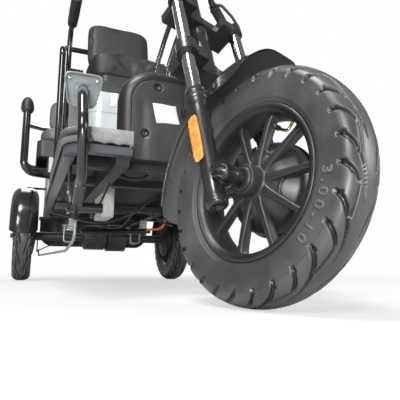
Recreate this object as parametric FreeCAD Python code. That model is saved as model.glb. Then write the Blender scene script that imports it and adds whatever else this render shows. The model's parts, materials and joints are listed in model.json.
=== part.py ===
import FreeCAD, Part
import math
import os

os.makedirs("parts", exist_ok=True)
V = FreeCAD.Vector

# Electric tricycle: one wheel in front on a telescopic fork, two behind, driver's seat and passenger bench.
# Millimetres, floor at Z = 0, front towards -Y, the vehicle's left side towards +X.

# driving dimensions
wheelbase = 1560.0
rear_track = 740.0
front_axle_y = -823.0
front_axle_rise = 0.74         # keeps the turned, leaning front tyre just on the floor
tyre_radius = 208.0            # 3.00-10
tyre_half_width = 40.0
rim_flange_radius = 138.5
rake = 24.0
parked_steer = 17.5
spoke_phase = 29.0
fork_offset = 65.0
leg_side = 87.0
leg_setback = 26.0
leg_foot = -44.0
lower_yoke = 311.0
rail_side = 277.0
rail_bottom = 297.0
rail_width = 26.0
rail_height = 24.0
spine_bottom = 285.0
spine_side = 165.0
floor_top = 355.0
floor_half_width = 290.0
floor_front_y = -573.0
floor_rear_y = 460.0
shield_half_width = 169.0
shield_top = 546.0
shield_front_y = -503.0
shield_rear_y = -470.0
shield_bolt_radius = 4.0
box_front_y = 50.0
box_rear_y = 420.0
box_half_width = 171.0
box_top = 725.0
seat_half_width = 172.0
seat_top = 925.0
bench_front_y = 478.0
bench_rear_y = 850.0
bench_half_width = 340.0
bench_top = 688.0
overall_length = 2060.0

rear_axle_y = front_axle_y + wheelbase
sin_r = math.sin(math.radians(rake))
cos_r = math.cos(math.radians(rake))
steer_axis = V(0, sin_r, cos_r)
ahead = V(0, -cos_r, sin_r)
front_centre = V(0, front_axle_y, tyre_radius + front_axle_rise)
axis_point = front_centre - ahead * fork_offset


def along(t, lead=0.0, x=0.0):
    # a point t up the steering axis, lead ahead of it and x to the left
    return axis_point + steer_axis * t + ahead * lead + V(x, 0, 0)


def park(shape):
    turned = shape.copy()
    turned.rotate(axis_point, steer_axis, parked_steer)
    return turned


def box(x0, x1, y0, y1, z0, z1):
    return Part.makeBox(x1 - x0, y1 - y0, z1 - z0, V(x0, y0, z0))


def rod(start, end, radius):
    way = end - start
    return Part.makeCylinder(radius, way.Length, start, way)


def path(points, bend):
    # straight runs joined by arcs of the given radius
    edges = []
    start = points[0]
    for before, corner, after in zip(points, points[1:], points[2:]):
        back = (before - corner).normalize()
        on = (after - corner).normalize()
        half = back.getAngle(on) / 2
        reach = min(bend / math.tan(half), 0.48 * (before - corner).Length, 0.48 * (after - corner).Length)
        radius = reach * math.tan(half)
        first = corner + back * reach
        last = corner + on * reach
        inward = (back + on).normalize()
        middle = corner + inward * (radius / math.sin(half) - radius)
        edges.append(Part.makeLine(start, first))
        edges.append(Part.Arc(first, middle, last).toShape())
        start = last
    edges.append(Part.makeLine(start, points[-1]))
    return Part.Wire(edges)


def tube(points, radius, bend=40.0):
    spine = path(points, bend)
    way = (points[1] - points[0]).normalize()
    section = Part.Wire([Part.makeCircle(radius, points[0], way)])
    return spine.makePipeShell([section], True, True)


def rounded(solid, radius, pick):
    edges = [edge for edge in solid.Edges if pick(edge)]
    return solid.makeFillet(radius, edges)


def upright(edge):
    ends = [v.Point for v in edge.Vertexes]
    return len(ends) == 2 and abs(ends[0].x - ends[1].x) < 0.01 and abs(ends[0].y - ends[1].y) < 0.01


def lengthwise(edge):
    ends = [v.Point for v in edge.Vertexes]
    return len(ends) == 2 and abs(ends[0].x - ends[1].x) < 0.01 and abs(ends[0].z - ends[1].z) < 0.01


def soft_box(x0, x1, y0, y1, z0, z1, corner, edge_radius):
    solid = rounded(box(x0, x1, y0, y1, z0, z1), corner, upright)
    return solid.makeFillet(edge_radius, [e for e in solid.Edges if not upright(e)])


def lathe(profile, centre):
    # turns (x, radius) points about the wheel's own axle line through centre
    points = [centre + V(x, 0, r) for x, r in profile]
    face = Part.Face(Part.makePolygon(points + points[:1]))
    return face.revolve(centre, V(1, 0, 0), 360)


def save(node, *shapes):
    solids = []
    for shape in shapes:
        solids += shape.Solids
    whole = solids[0] if len(solids) == 1 else Part.makeCompound(solids)
    whole.exportStep("parts/%s.step" % node)


# wheels: the drum side of each wheel faces its own brake plate
def tyre(centre):
    half = tyre_half_width
    crown = [(0, 0), (18, 1.4), (30, 7.0), (38, 18), (half, 30), (half - 2, 45), (half - 6, 58)]
    left = [centre + V(x, 0, tyre_radius - drop) for x, drop in crown]
    right = [centre + V(-x, 0, tyre_radius - drop) for x, drop in crown]
    outline = Part.BSplineCurve()
    outline.interpolate(list(reversed(right)) + left[1:])
    bead = [left[-1], centre + V(31, 0, rim_flange_radius + 0.3), centre + V(27.3, 0, rim_flange_radius + 0.3)]
    bead += [centre + V(27.3, 0, 128.3), centre + V(-27.3, 0, 128.3)]
    bead += [centre + V(-27.3, 0, rim_flange_radius + 0.3), centre + V(-31, 0, rim_flange_radius + 0.3), right[-1]]
    wire = Part.Wire([outline.toShape()] + Part.makePolygon(bead).Edges)
    return Part.Face(wire).revolve(centre, V(1, 0, 0), 360)


def arch(profile, centre, lead_angle, trail_angle):
    # part of a lathe ring, from lead_angle ahead of the top to trail_angle behind it
    points = [centre + V(x, 0, r) for x, r in profile]
    face = Part.Face(Part.makePolygon(points + points[:1]))
    face.rotate(centre, V(1, 0, 0), lead_angle)
    return face.revolve(centre, V(-1, 0, 0), lead_angle + trail_angle)


def rim(centre, drum):
    # ten-spoke cast wheel; drum is +1 when its brake bowl faces +X
    barrel = lathe([(-33, 134), (-31.5, 138.5), (-28, 138.5), (-27.5, 128), (27.5, 128), (28, 138.5),
                    (31.5, 138.5), (33, 134), (31, 124), (20, 120.5), (-20, 120.5), (-31, 124)], centre)
    hub = lathe([(-48, 11.1), (-48, 24), (-46, 26), (-22, 27), (-18, 44), (-8, 60), (4, 80), (12, 84),
                 (36, 84), (36, 79), (8, 76), (2, 60), (2, 11.1)], centre)
    spokes = []
    for pair in range(5):
        for side in (-18, 18):
            angle = spoke_phase + 72 * pair + side
            near = 7.5
            far = 5.0
            points = [V(-20, -near, 40), V(-20, near, 40), V(-15, far, 122.5), V(-15, -far, 122.5)]
            face = Part.Face(Part.makePolygon(points + points[:1]))
            spoke = face.extrude(V(19, 0, 0))
            spoke.rotate(V(0, 0, 0), V(1, 0, 0), angle)
            spoke.translate(centre)
            spokes.append(spoke)
        web = Part.Face(Part.makePolygon([V(-18, -20, 52), V(-18, 20, 52), V(-18, 24, 78), V(-18, -24, 78),
                                          V(-18, -20, 52)])).extrude(V(14, 0, 0))
        web.rotate(V(0, 0, 0), V(1, 0, 0), spoke_phase + 72 * pair)
        web.translate(centre)
        spokes.append(web)
    wheel = barrel.fuse([hub] + spokes)
    if drum < 0:
        wheel = wheel.mirror(centre, V(1, 0, 0))
    return wheel


def brake_plate(centre, drum, lever_turn):
    plate = lathe([(28, 11.1), (28, 40), (33, 74), (38.2, 74), (38.2, 87), (44, 87), (50, 60), (54, 26), (54, 11.1)],
                  centre)
    pivot = centre + V(0, -50, 0)
    shaft = rod(pivot + V(40, 0, 0), pivot + V(67, 0, 0), 8)
    lever = box(60, 65, -8, 8, -76, 8)
    lever.rotate(V(0, 0, 0), V(1, 0, 0), lever_turn)
    lever.translate(pivot)
    fixed = plate.fuse([shaft, lever])
    return fixed if drum > 0 else fixed.mirror(centre, V(1, 0, 0))


save("front_tyre", park(tyre(front_centre)))
save("front_rim", park(rim(front_centre, 1)))
rear_right = V(-rear_track / 2, rear_axle_y, tyre_radius)
rear_left = V(rear_track / 2, rear_axle_y, tyre_radius)
save("rear_tyre_right", tyre(rear_right))
save("rear_tyre_left", tyre(rear_left))
save("rear_rim_right", rim(rear_right, 1))
save("rear_rim_left", rim(rear_left, -1))

# telescopic fork, straight ahead; park() turns it to the resting lock
axle = rod(front_centre + V(-92, 0, 0), front_centre + V(92, 0, 0), 11)
for s in (-1, 1):
    nut = Part.Face(Part.makePolygon([V(0, 13 * math.sin(math.radians(60 * k)), 13 * math.cos(math.radians(60 * k)))
                                      for k in range(7)])).extrude(V(s * 10, 0, 0))
    nut.translate(front_centre + V(s * 92, 0, 0))
    axle = axle.fuse([nut, rod(front_centre + V(s * 100, 0, 0), front_centre + V(s * 109, 0, 0), 7)])
save("front_axle", park(axle))
leg_lead = fork_offset - leg_setback


def fork_leg(side):
    x = side * leg_side
    leg = rod(along(leg_foot, leg_lead, x), along(172, leg_lead, x), 17)
    collar = rod(along(172, leg_lead, x), along(206, leg_lead, x), 22.5)
    cap = rod(along(leg_foot - 8, leg_lead, x), along(leg_foot + 8, leg_lead, x), 19)
    hollow = rod(along(leg_foot - 9, leg_lead, x), along(leg_foot - 3, leg_lead, x), 6)
    lug_start = front_centre + V(side * 91.5, 0, 0)
    lug = rod(lug_start, front_centre + V(side * 60, 0, 0), 15)
    neck = box(side * 78 - 12, side * 78 + 12, -30, 0, -15, 15)
    neck.rotate(V(0, 0, 0), V(1, 0, 0), -rake)
    neck = neck.mirror(V(0, 0, 0), V(0, 1, 0))
    neck.translate(front_centre)
    whole = leg.fuse([collar, cap, lug, neck]).cut(hollow)
    whole = whole.cut(rod(along(110, leg_lead, x), along(210, leg_lead, x), 14.15))
    whole = whole.cut(rod(front_centre + V(side * 91.6, 0, 0), front_centre + V(side * 115, 0, 0), 13.5))
    return whole.cut(rod(front_centre + V(-130, 0, 0), front_centre + V(130, 0, 0), 11.05))


save("fork_leg_right", park(fork_leg(-1)))
save("fork_leg_left", park(fork_leg(1)))
stanchions = [rod(along(112, leg_lead, s * leg_side), along(512, leg_lead, s * leg_side), 14) for s in (-1, 1)]
save("fork_stanchions", *[park(s) for s in stanchions])


def clamp(t0, t1, ear, edge):
    # a yoke across both stanchions, made square to the steering axis
    bar = box(-leg_side, leg_side, -26, 22, 0, t1 - t0)
    ears = [Part.makeCylinder(ear, t1 - t0, V(s * leg_side, -leg_lead, 0)) for s in (-1, 1)]
    joins = [box(min(s * leg_side, s * 40), max(s * leg_side, s * 40), -leg_lead - 14, 0, 0, t1 - t0) for s in (-1, 1)]
    yoke = bar.fuse(ears + joins + [Part.makeCylinder(edge, t1 - t0, V(0, 0, 0))])
    yoke.rotate(V(0, 0, 0), V(1, 0, 0), -rake)
    yoke.translate(along(t0))
    for s in (-1, 1):
        yoke = yoke.cut(rod(along(t0 - 20, leg_lead, s * leg_side), along(t1 + 20, leg_lead, s * leg_side), 14.05))
    return yoke.removeSplitter()


stem = rod(along(lower_yoke + 20), along(514), 14).fuse(rod(along(514), along(820), 19))
stem = stem.fuse(clamp(lower_yoke, lower_yoke + 30, 23, 30)).fuse(clamp(488, 512, 21, 27))
stem = stem.fuse(rod(along(820), along(868), 21))
stem = stem.cut(rod(along(848, 0, -60), along(848, 0, 60), 11.2))
save("steering_stem", park(stem))

bar_centre = along(848)
bar_points = [(-345, 190, 22), (-228, 138, 40), (-150, 34, 44), (-95, 0, 0), (95, 0, 0), (150, 34, 44),
              (228, 138, 40), (345, 190, 22)]
bar = tube([bar_centre + V(x, y, z) for x, y, z in bar_points], 11.1, 45)
save("handlebar", park(bar))


def bar_run(side, near, far, radius, bore=11.15):
    outer = bar_centre + V(side * 345, 190, 22)
    inner = bar_centre + V(side * 228, 138, 40)
    way = (inner - outer).normalize()
    sleeve = rod(outer + way * near, outer + way * far, radius)
    if near < 0:
        return sleeve.cut(rod(outer, outer + way * (far + 1), bore))
    return sleeve.cut(rod(outer + way * (near - 1), outer + way * (far + 1), bore))


save("handlebar_grips", park(bar_run(-1, -4, 97, 16)), park(bar_run(1, -4, 97, 16)))
levers = []
for s in (-1, 1):
    outer = bar_centre + V(s * 345, 190, 22)
    inner = bar_centre + V(s * 228, 138, 40)
    way = (inner - outer).normalize()
    out = V(0, -1, -0.25).normalize()
    perch = bar_run(s, 97.5, 111, 15)
    root = outer + way * 104
    arm = tube([root + out * 12.5, root + out * 40, outer + way * 40 + out * 62, outer - way * 4 + out * 66], 5, 14)
    levers.append(perch.fuse(arm))
save("brake_levers", *[park(piece) for piece in levers])

mirrors = []
for s in (-1, 1):
    foot = bar_centre + V(s * 189, 86, 42)
    stalk = tube([foot + V(0, 0, 11.2), foot + V(0, -10, 50), foot + V(s * 70, -34, 84), foot + V(s * 84, -34, 84)],
                 4.5, 18)
    head = box(-60, 60, -8, 8, -36, 36)
    head = head.makeFillet(28, [e for e in head.Edges if lengthwise(e)])
    head = head.makeFillet(4, [e for e in head.Edges if not lengthwise(e)])
    head.translate(foot + V(s * 96, -34, 106))
    mirrors.append(stalk.fuse(head))
save("mirrors", *[park(piece) for piece in mirrors])

lamp_centre = along(700, 74)
lamp = Part.makeSphere(1.0)
grow = FreeCAD.Matrix()
grow.scale(74, 62, 70)
lamp = lamp.transformGeometry(grow).common(box(-90, 90, -70, 12, -90, 90))
lamp.translate(lamp_centre)
lamp_bracket = box(-22, 22, 0, 60, -10, 10)
lamp_bracket.translate(lamp_centre + V(0, 0, 0))
lamp_bracket = lamp_bracket.cut(rod(along(600), along(800), 19.05))
save("headlight", park(lamp.fuse(lamp_bracket)))
display = soft_box(-70, 70, -34, 34, 0, 30, 14, 4)
display.rotate(V(0, 0, 0), V(1, 0, 0), -30)
display.translate(along(868, 4) + V(0, 0, 2))
save("display", park(display.cut(rod(along(840), along(869), 21.1))))

# front mudguard: shell with turned-down sides, bolted stays to the fork legs
guard_section = [(-60, 222), (-57, 222), (-56, 238), (-48, 244), (48, 244), (56, 238), (57, 222), (60, 222),
                 (59.5, 240), (50, 247.5), (-50, 247.5), (-59.5, 240)]
guard = arch(guard_section, front_centre, 6, 104)
skirts = []
for s in (-1, 1):
    skirt = [(s * 60.2, 196), (s * 63, 196), (s * 63, 240), (s * 60.2, 240)]
    skirts.append(arch(skirt, front_centre, -12, 42))
save("front_mudguard", park(guard), *[park(piece) for piece in skirts])
stays = []
for s in (-1, 1):
    points = [front_centre + V(s * 65.8, 104, 186), front_centre + V(s * 65.8, 92, 150), along(118, leg_lead, s * 67)]
    stay = tube(points, 2.5, 20)
    foot = rod(along(118, leg_lead, s * 64.5), along(118, leg_lead, s * 69.9), 6)
    stays.append(stay.fuse(foot).cut(fork_leg(s)))
save("mudguard_stays", *[park(piece) for piece in stays])
save("front_brake_plate", park(brake_plate(front_centre, 1, 115).cut(fork_leg(1).fuse(axle))))
reflectors = []
for s in (-1, 1):
    bar_block = box(-11, 11, 17.2, 23, 35, 132)
    bar_block = bar_block.makeFillet(5, [e for e in bar_block.Edges if e.Length < 7])
    bar_block.rotate(V(0, 0, 0), V(0, 0, 1), -90 * s)
    bar_block.rotate(V(0, 0, 0), V(1, 0, 0), -rake)
    bar_block.translate(along(0, leg_lead, s * leg_side))
    reflectors.append(bar_block)
save("fork_reflectors", *[park(piece) for piece in reflectors])

# frame: head tube and neck, perimeter rails, deep spine channels, cross members
rail_top = rail_bottom + rail_height
head = rod(along(lower_yoke + 36), along(482), 24)
neck_run = [along(378), V(0, -548, 480), V(0, -452, 400), V(0, -440, 290)]
neck = tube(neck_run, 19, 60)
gusset = box(-5, 5, -15, 75, 0, 40)
gusset.rotate(V(0, 0, 0), V(1, 0, 0), -rake)
gusset.translate(along(392))
column = head.fuse([neck, gusset]).cut(rod(along(290), along(500), 14.4))
column = column.cut(rod(along(lower_yoke + 48), along(470), 18))
save("head_tube", column)
rails = []
for s in (-1, 1):
    inner = s * (rail_side - rail_width / 2)
    outer = s * (rail_side + rail_width / 2)
    low, high = min(inner, outer), max(inner, outer)
    side_rail = box(low, high, -513, 690, rail_bottom, rail_top)
    rails.append(rounded(side_rail, 6, lengthwise))
    corner = box(min(s * 150, outer), max(s * 150, outer), floor_front_y + 3, -513, rail_top - 18, rail_top)
    outside = [e for e in corner.Edges if upright(e) and abs(e.Vertexes[0].X - outer) < 0.1
               and e.Vertexes[0].Y < -540]
    corner = corner.makeFillet(52, outside)
    notch = box(min(s * 149, inner), max(s * 149, inner), floor_front_y + 3 + rail_width, -510, 280, 330)
    rails.append(corner.cut(notch))
rails = [rails[0].fuse(rails[1]), rails[2].fuse(rails[3])]
save("frame_rails", *rails)
spines = []
for s in (-1, 1):
    x0, x1 = sorted((s * (spine_side - 15), s * (spine_side + 15)))
    y_start = floor_front_y + 3 + rail_width
    spines.append(box(x0, x1, y_start, 960, spine_bottom, floor_top - 12.3))
save("frame_spines", *spines)
members = []
for y0, y1, z0, z1 in ((-458, -422, 297, 321), (-240, -205, 297, 321), (160, 195, 275, 297), (654, 690, 297, 321)):
    span = box(-rail_side + rail_width / 2, rail_side - rail_width / 2, y0, y1, z0, z1)
    for spine in spines:
        span = span.cut(spine)
    members.append(span.cut(column))
members.append(box(-180, 180, 960, 996, 285, 343))
save("frame_crossmembers", *members)

# floor, leg shield
edge_depth = 30.0
floor_parts = []
for s in (-1, 1):
    x0, x1 = sorted((s * 150, s * floor_half_width))
    toe = box(x0, x1, floor_front_y, -424, floor_top - edge_depth, floor_top)
    outside = [e for e in toe.Edges if upright(e) and abs(abs(e.Vertexes[0].X) - floor_half_width) < 0.1
               and e.Vertexes[0].Y < -560]
    toe = toe.makeFillet(55, outside)
    under = [e for e in toe.Faces if abs(e.CenterOfMass.z - floor_top) < 0.1][0].makeOffset2D(-4.0)
    hollow = Part.Face(under.Wires[0]).extrude(V(0, 0, -60))
    hollow.translate(V(0, 0, -12))
    floor_parts.append(toe.cut(hollow))
deck = box(-floor_half_width, floor_half_width, -424, floor_rear_y, floor_top - edge_depth, floor_top)
deck = deck.cut(box(-floor_half_width + 4, floor_half_width - 4, -430, floor_rear_y - 4, 300, floor_top - 12))
clear_spines = [box(s * spine_side - 15.3, s * spine_side + 15.3, -600, 980, 280, floor_top - 12) for s in (-1, 1)]
floor_parts = [piece.cut(Part.Compound(clear_spines)) for piece in floor_parts + [deck.cut(column)]]
floor_plate = floor_parts[0].fuse(floor_parts[1:]).removeSplitter()
save("footboard", floor_plate)


def shield_arch(half, top, bottom, radius, y0, y1):
    block = box(-half, half, y0, y1, bottom, top)
    upper = [e for e in block.Edges if lengthwise(e) and e.Vertexes[0].Z > top - 1]
    return block.makeFillet(radius, upper)


def back_rim(shape, y):
    return [e for e in shape.Edges if all(abs(v.Y - y) < 0.1 for v in e.Vertexes)
            and e.BoundBox.ZMax > 310]


shell = shield_arch(shield_half_width - 1, shield_top - 1, 312, 86, shield_front_y, shield_rear_y)
shell = shell.makeFillet(31, back_rim(shell, shield_front_y))
cavity = shield_arch(shield_half_width - 5, shield_top - 5, 300, 82, shield_front_y + 4, shield_rear_y + 6)
cavity = cavity.makeFillet(27, back_rim(cavity, shield_front_y + 4))
half = shield_half_width - 7
lip_y = shield_rear_y - 2
lip = tube([V(-half, lip_y, 359), V(-half, lip_y, shield_top - 7), V(half, lip_y, shield_top - 7), V(half, lip_y, 359)],
           6.8, 80)
shield = shell.cut(cavity).fuse(lip).cut(Part.Compound(floor_parts + rails + spines))
for x, z in ((-75, 499), (75, 499), (-106, 380), (106, 380)):
    shield = shield.cut(rod(V(x, -520, z), V(x, -440, z), shield_bolt_radius))
shield = shield.cut(tube(neck_run, 20.5, 60))
save("leg_shield", *[piece for piece in shield.Solids if piece.Volume > 20000])

# battery box under the driver's seat, walls and rounded corners, with the pack inside
wall = 3.0
r_corner = 45.0
y0, y1 = box_front_y, box_rear_y
outer_box = rounded(box(-box_half_width, box_half_width, y0, y1, floor_top, box_top), r_corner, upright)
inner_box = rounded(box(-box_half_width + wall, box_half_width - wall, y0 + wall, y1 - wall, floor_top + wall, 800),
                    r_corner - wall, upright)
save("battery_box", outer_box.cut(inner_box))
save("battery_pack", soft_box(-130, 130, y0 + 40, y1 - 40, floor_top + wall, 600, 12, 4))

# driver's seat: base, cushion and backrest tip forwards together
base = rounded(box(-box_half_width, box_half_width, y0, y1, box_top + 0.5, box_top + 20), r_corner, upright)
plinth = rounded(box(-132, 132, 110, 400, box_top + 20, 795), 30, upright)
hinge_barrel = rod(V(-60, 42, box_top + 8), V(60, 42, box_top + 8), 7)
leaf = box(-60, 60, 42, 60, box_top + 4, box_top + 12)


def back_brackets(radius):
    runs = [[V(s * 110, 392, 770), V(s * 110, 446, 800), V(s * 110, 503, 1040)] for s in (-1, 1)]
    return [tube(points, radius, 30) for points in runs]


bracket = back_brackets(11)
save("seat_base", base.fuse([plinth, hinge_barrel, leaf] + bracket))
save("seat_cushion", soft_box(-seat_half_width, seat_half_width, 132, 432, 795.3, seat_top, 70, 30)
     .cut(Part.Compound(back_brackets(11.4))))
back = soft_box(10 - seat_half_width, seat_half_width - 10, 0, 62, 0, 300, 24, 20)
back = back.common(Part.makeCylinder(2000, 700, V(0, -300, -20), V(0, 0, 1)))
back.rotate(V(0, 0, 0), V(1, 0, 0), -12)
back.translate(V(0, 410, 950))
save("seat_backrest", back.cut(Part.Compound(back_brackets(11.4))))

# passenger bench on its box
side_plates = []
for s in (-1, 1):
    x0, x1 = sorted((s * 282, s * 285))
    side_plates.append(box(x0, x1, 474, 840, rail_top, 600))
save("bench_side_panels", *side_plates)
save("bench_end_panels", box(-282, 282, 474, 477, floor_top - 12.3, 600), box(-282, 282, 837, 840, floor_top - 12.3, 600))
tray = soft_box(-bench_half_width + 2, bench_half_width - 2, 470, 850, 540, 612, 30, 2)
tray = tray.cut(rounded(box(-bench_half_width + 5, bench_half_width - 5, 473, 847, 500, 600), 27, upright))
save("bench_tray", tray)
save("bench_cushion", soft_box(-bench_half_width, bench_half_width, bench_front_y - 6, 846, 612.3, bench_top, 40, 22))
back = soft_box(-296, 296, 0, 68, 0, 215, 26, 24)
back.rotate(V(0, 0, 0), V(1, 0, 0), -8)
back.translate(V(0, 836, 762))


def back_posts(radius):
    runs = [[V(s * 165, 905, 343), V(s * 165, 905, 700), V(s * 165, 928, 945)] for s in (-1, 1)]
    bar = rod(V(-160, 910, 780), V(160, 910, 780), radius - 2.7)
    return tube(runs[0], radius, 60).fuse([bar, tube(runs[1], radius, 60)])


back_frame = back_posts(12.7)
save("bench_back_frame", back_frame)
save("bench_backrest", back.cut(back_posts(13.1)))

# passenger armrests: upright tubes from the seat box, end knobs, rails to the back frame
knobs = []
for s, side in ((-1, "right"), (1, "left")):
    front_arm = tube([V(s * 274, 452, 451), V(s * 385, 400, 451), V(s * 385, 400, 712)], 15, 45)
    tail_arm = tube([V(s * 286, 640, 520), V(s * 388, 640, 520), V(s * 390, 640, 752)], 12.7, 40)
    rail = tube([V(s * 385, 400, 694), V(s * 390, 640, 756), V(s * 390, 800, 775), V(s * 300, 930, 800),
                 V(s * 176, 914, 800)], 11, 50)
    armrest = front_arm.fuse([tail_arm, rail])
    save("passenger_armrest_%s" % side, armrest.cut(Part.Compound(side_plates + [back, back_frame])))
    knob = rod(V(s * 385, 400, 708), V(s * 385, 400, 770), 25)
    knob = knob.makeFillet(20, [e for e in knob.Edges if e.BoundBox.ZMin > 765])
    knob = knob.makeFillet(7, [e for e in knob.Edges if e.BoundBox.ZMax < 709])
    knobs.append(knob.cut(armrest))
save("armrest_knobs", *knobs)

# grab hoop behind the driver and the driver's own armrests
posts = []
for s in (-1, 1):
    posts.append(tube([V(s * 264, 277, floor_top), V(s * 264, 277, 955), V(s * 258, 560, 1105), V(s * 170, 560, 1105)],
                      12.7, 60))
bridge = rod(V(-170, 560, 1105), V(170, 560, 1105), 12.7)
save("grab_hoop", bridge.fuse(posts))
arms = []
pads = []
for s in (-1, 1):
    arm = tube([V(s * 234, 350, floor_top), V(s * 234, 350, 1062), V(s * 234, 70, 1062)], 11, 60)
    stub = rod(V(s * 234, 350, 900), V(s * (seat_half_width + 0.4), 350, 900), 9)
    arms.append(arm.fuse(stub))
    pad = rod(V(s * 234, 62, 1062), V(s * 234, 260, 1062), 19).cut(rod(V(s * 234, 70, 1062), V(s * 234, 270, 1062), 11.3))
    pads.append(pad)
save("driver_armrests", *arms)
save("armrest_pads", *pads)

# rear axle: housing, gear case and motor, leaf springs, brakes
housing = rod(V(-316, rear_axle_y, tyre_radius), V(316, rear_axle_y, tyre_radius), 20)
gear_case = rod(V(20, rear_axle_y, tyre_radius), V(112, rear_axle_y, tyre_radius), 66)
pads_x = [box(s * spine_side - 20, s * spine_side + 20, rear_axle_y - 26, rear_axle_y + 26, 218, 234) for s in (-1, 1)]
shafts = [rod(V(s * 316, rear_axle_y, tyre_radius), V(s * 428, rear_axle_y, tyre_radius), 11) for s in (-1, 1)]
save("rear_axle", housing.fuse([gear_case] + pads_x + shafts))
motor = rod(V(-96, rear_axle_y, tyre_radius), V(19.8, rear_axle_y, tyre_radius), 62)
motor = motor.cut(rod(V(-200, rear_axle_y, tyre_radius), V(200, rear_axle_y, tyre_radius), 20.1).fuse(pads_x + [box(-200, -140, 600, 900, 218, 290)]))
save("motor", motor)
springs = []
for s in (-1, 1):
    for i, reach in enumerate((190, 140, 90)):
        top = 252.6 - 6.2 * i
        leaf = box(s * spine_side - 19, s * spine_side + 19, rear_axle_y - reach, rear_axle_y + reach, top - 6, top)
        springs.append(leaf)
    for y in (rear_axle_y - 182, rear_axle_y + 182):
        springs.append(box(s * spine_side - 17, s * spine_side + 17, y - 8, y + 8, 252.8, spine_bottom))
save("leaf_springs", *springs)
for s, side in ((-1, "right"), (1, "left")):
    centre = rear_right if s < 0 else rear_left
    plate = brake_plate(centre, -s, 0)
    save("rear_brake_%s" % side, plate.cut(housing.fuse(shafts)))
    fender_section = [(-59, 186), (-56.5, 186), (-55, 197), (-46, 212), (-29, 222), (-12, 225), (12, 225), (29, 222),
                      (46, 212), (55, 197), (56.5, 186), (59, 186), (57.5, 198), (48, 214.5), (30, 225), (12, 228),
                      (-12, 228), (-30, 225), (-48, 214.5), (-57.5, 198)]
    save("rear_mudguard_%s" % side, arch(fender_section, centre, 91, 84),
         box(centre.x - 12 if s < 0 else centre.x - 85, centre.x + 85 if s < 0 else centre.x + 12,
             rear_axle_y - 15, rear_axle_y + 15, tyre_radius + 228.3, tyre_radius + 232))

# foot brake on the right, its rod, the converter box, lamps and bumper
pivot = V(-246, -418, 205)
arm = tube([pivot, V(-252, -556, 258), V(-261, -620, 338), V(-259, -560, 428), V(-251, -474, 476)], 11, 60)
arm = arm.fuse(rod(V(-251, -478, 474), V(-250.5, -466, 480.5), 12))
arm = arm.fuse(box(-250, -242, -424, -404, 174, 205))
boss = rod(V(-263, -418, 205), V(-186, -418, 205), 12)
hang = box(-268, -262.2, -440, -396, 190, 297)
corners = [(-46, 40), (46, 40), (31, -40), (-31, -40), (-46, 40)]
plate = Part.Face(Part.makePolygon([V(x, -3, z) for x, z in corners])).extrude(V(0, 6, 0))
plate = rounded(plate, 14, lambda e: abs(e.Vertexes[0].X - e.Vertexes[1].X) < 0.01
                and abs(e.Vertexes[0].Z - e.Vertexes[1].Z) < 0.01)
plate.rotate(V(0, 0, 0), V(1, 0, 0), 24)
plate.translate(V(-250, -462, 479))
save("brake_pedal", arm.fuse([boss, plate, hang]))
save("brake_rod", tube([V(-246, -400.3, 182), V(-246, -400.3, 128), V(-262, -360, 104), V(-300.9, 560, 112),
                        V(-300.9, 694, 140)], 3.5, 30))
save("converter", soft_box(-149.7, -110, -160, -20, 215, 330, 3, 1.5))
bumper = rod(V(-250, 1011, 322), V(250, 1011, 322), 13)
bumper = bumper.fuse([rod(V(s * 250, 1011, 322), V(s * 300, 1011, 322), 11.5) for s in (-1, 1)])
save("tail_bumper", bumper.fuse([rod(V(s * 165, 996, 322), V(s * 165, 1005, 322), 9) for s in (-1, 1)]))
lamps = [soft_box(s * 220 - 45, s * 220 + 45, 840.2, 880, 470, 530, 14, 8) for s in (-1, 1)]
save("tail_lamps", *lamps)
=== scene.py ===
import bpy
import bmesh
import json
import math
import numpy as np
from mathutils import Matrix, Vector


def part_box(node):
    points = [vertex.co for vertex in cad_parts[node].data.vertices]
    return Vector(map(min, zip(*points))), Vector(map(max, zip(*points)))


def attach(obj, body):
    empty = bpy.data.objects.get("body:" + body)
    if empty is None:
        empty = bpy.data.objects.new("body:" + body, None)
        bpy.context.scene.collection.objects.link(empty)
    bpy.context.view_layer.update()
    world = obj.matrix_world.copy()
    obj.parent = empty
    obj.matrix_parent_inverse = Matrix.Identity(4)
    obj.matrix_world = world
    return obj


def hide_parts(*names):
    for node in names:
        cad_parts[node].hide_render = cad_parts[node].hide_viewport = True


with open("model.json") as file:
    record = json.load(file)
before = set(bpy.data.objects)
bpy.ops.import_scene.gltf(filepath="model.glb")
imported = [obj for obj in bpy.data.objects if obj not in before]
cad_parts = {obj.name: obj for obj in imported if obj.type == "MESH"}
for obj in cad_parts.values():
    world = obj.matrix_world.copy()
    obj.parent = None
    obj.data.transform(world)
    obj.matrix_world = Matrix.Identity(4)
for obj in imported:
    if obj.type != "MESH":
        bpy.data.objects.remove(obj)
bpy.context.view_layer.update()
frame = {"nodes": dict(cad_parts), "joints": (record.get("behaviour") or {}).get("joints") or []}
nodes = frame["nodes"]
joints = {joint["name"]: joint for joint in frame["joints"]}
frontCentre = np.array(joints["front_wheel_spin"]["pos_m"])
steerPoint = np.array(joints["steering_turn"]["pos_m"])
steerAxis = np.array(joints["steering_turn"]["axis"])
rearRight = np.array(joints["rear_wheel_right_spin"]["pos_m"])
rearLeft = np.array(joints["rear_wheel_left_spin"]["pos_m"])
parkedTurn = math.radians(17.5)
print("frame loaded")


# meshes
def addMesh(name, points, faces, material, body, smooth=True):
    mesh = bpy.data.meshes.new(name)
    mesh.from_pydata(np.asarray(points, float).reshape(-1, 3).tolist(), [], [list(map(int, f)) for f in faces])
    mesh.validate()
    mesh.polygons.foreach_set("use_smooth", [smooth] * len(mesh.polygons))
    piece = bpy.data.objects.new(name, mesh)
    bpy.context.scene.collection.objects.link(piece)
    piece.data.materials.append(material)
    if body:
        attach(piece, body)
    return piece


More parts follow.
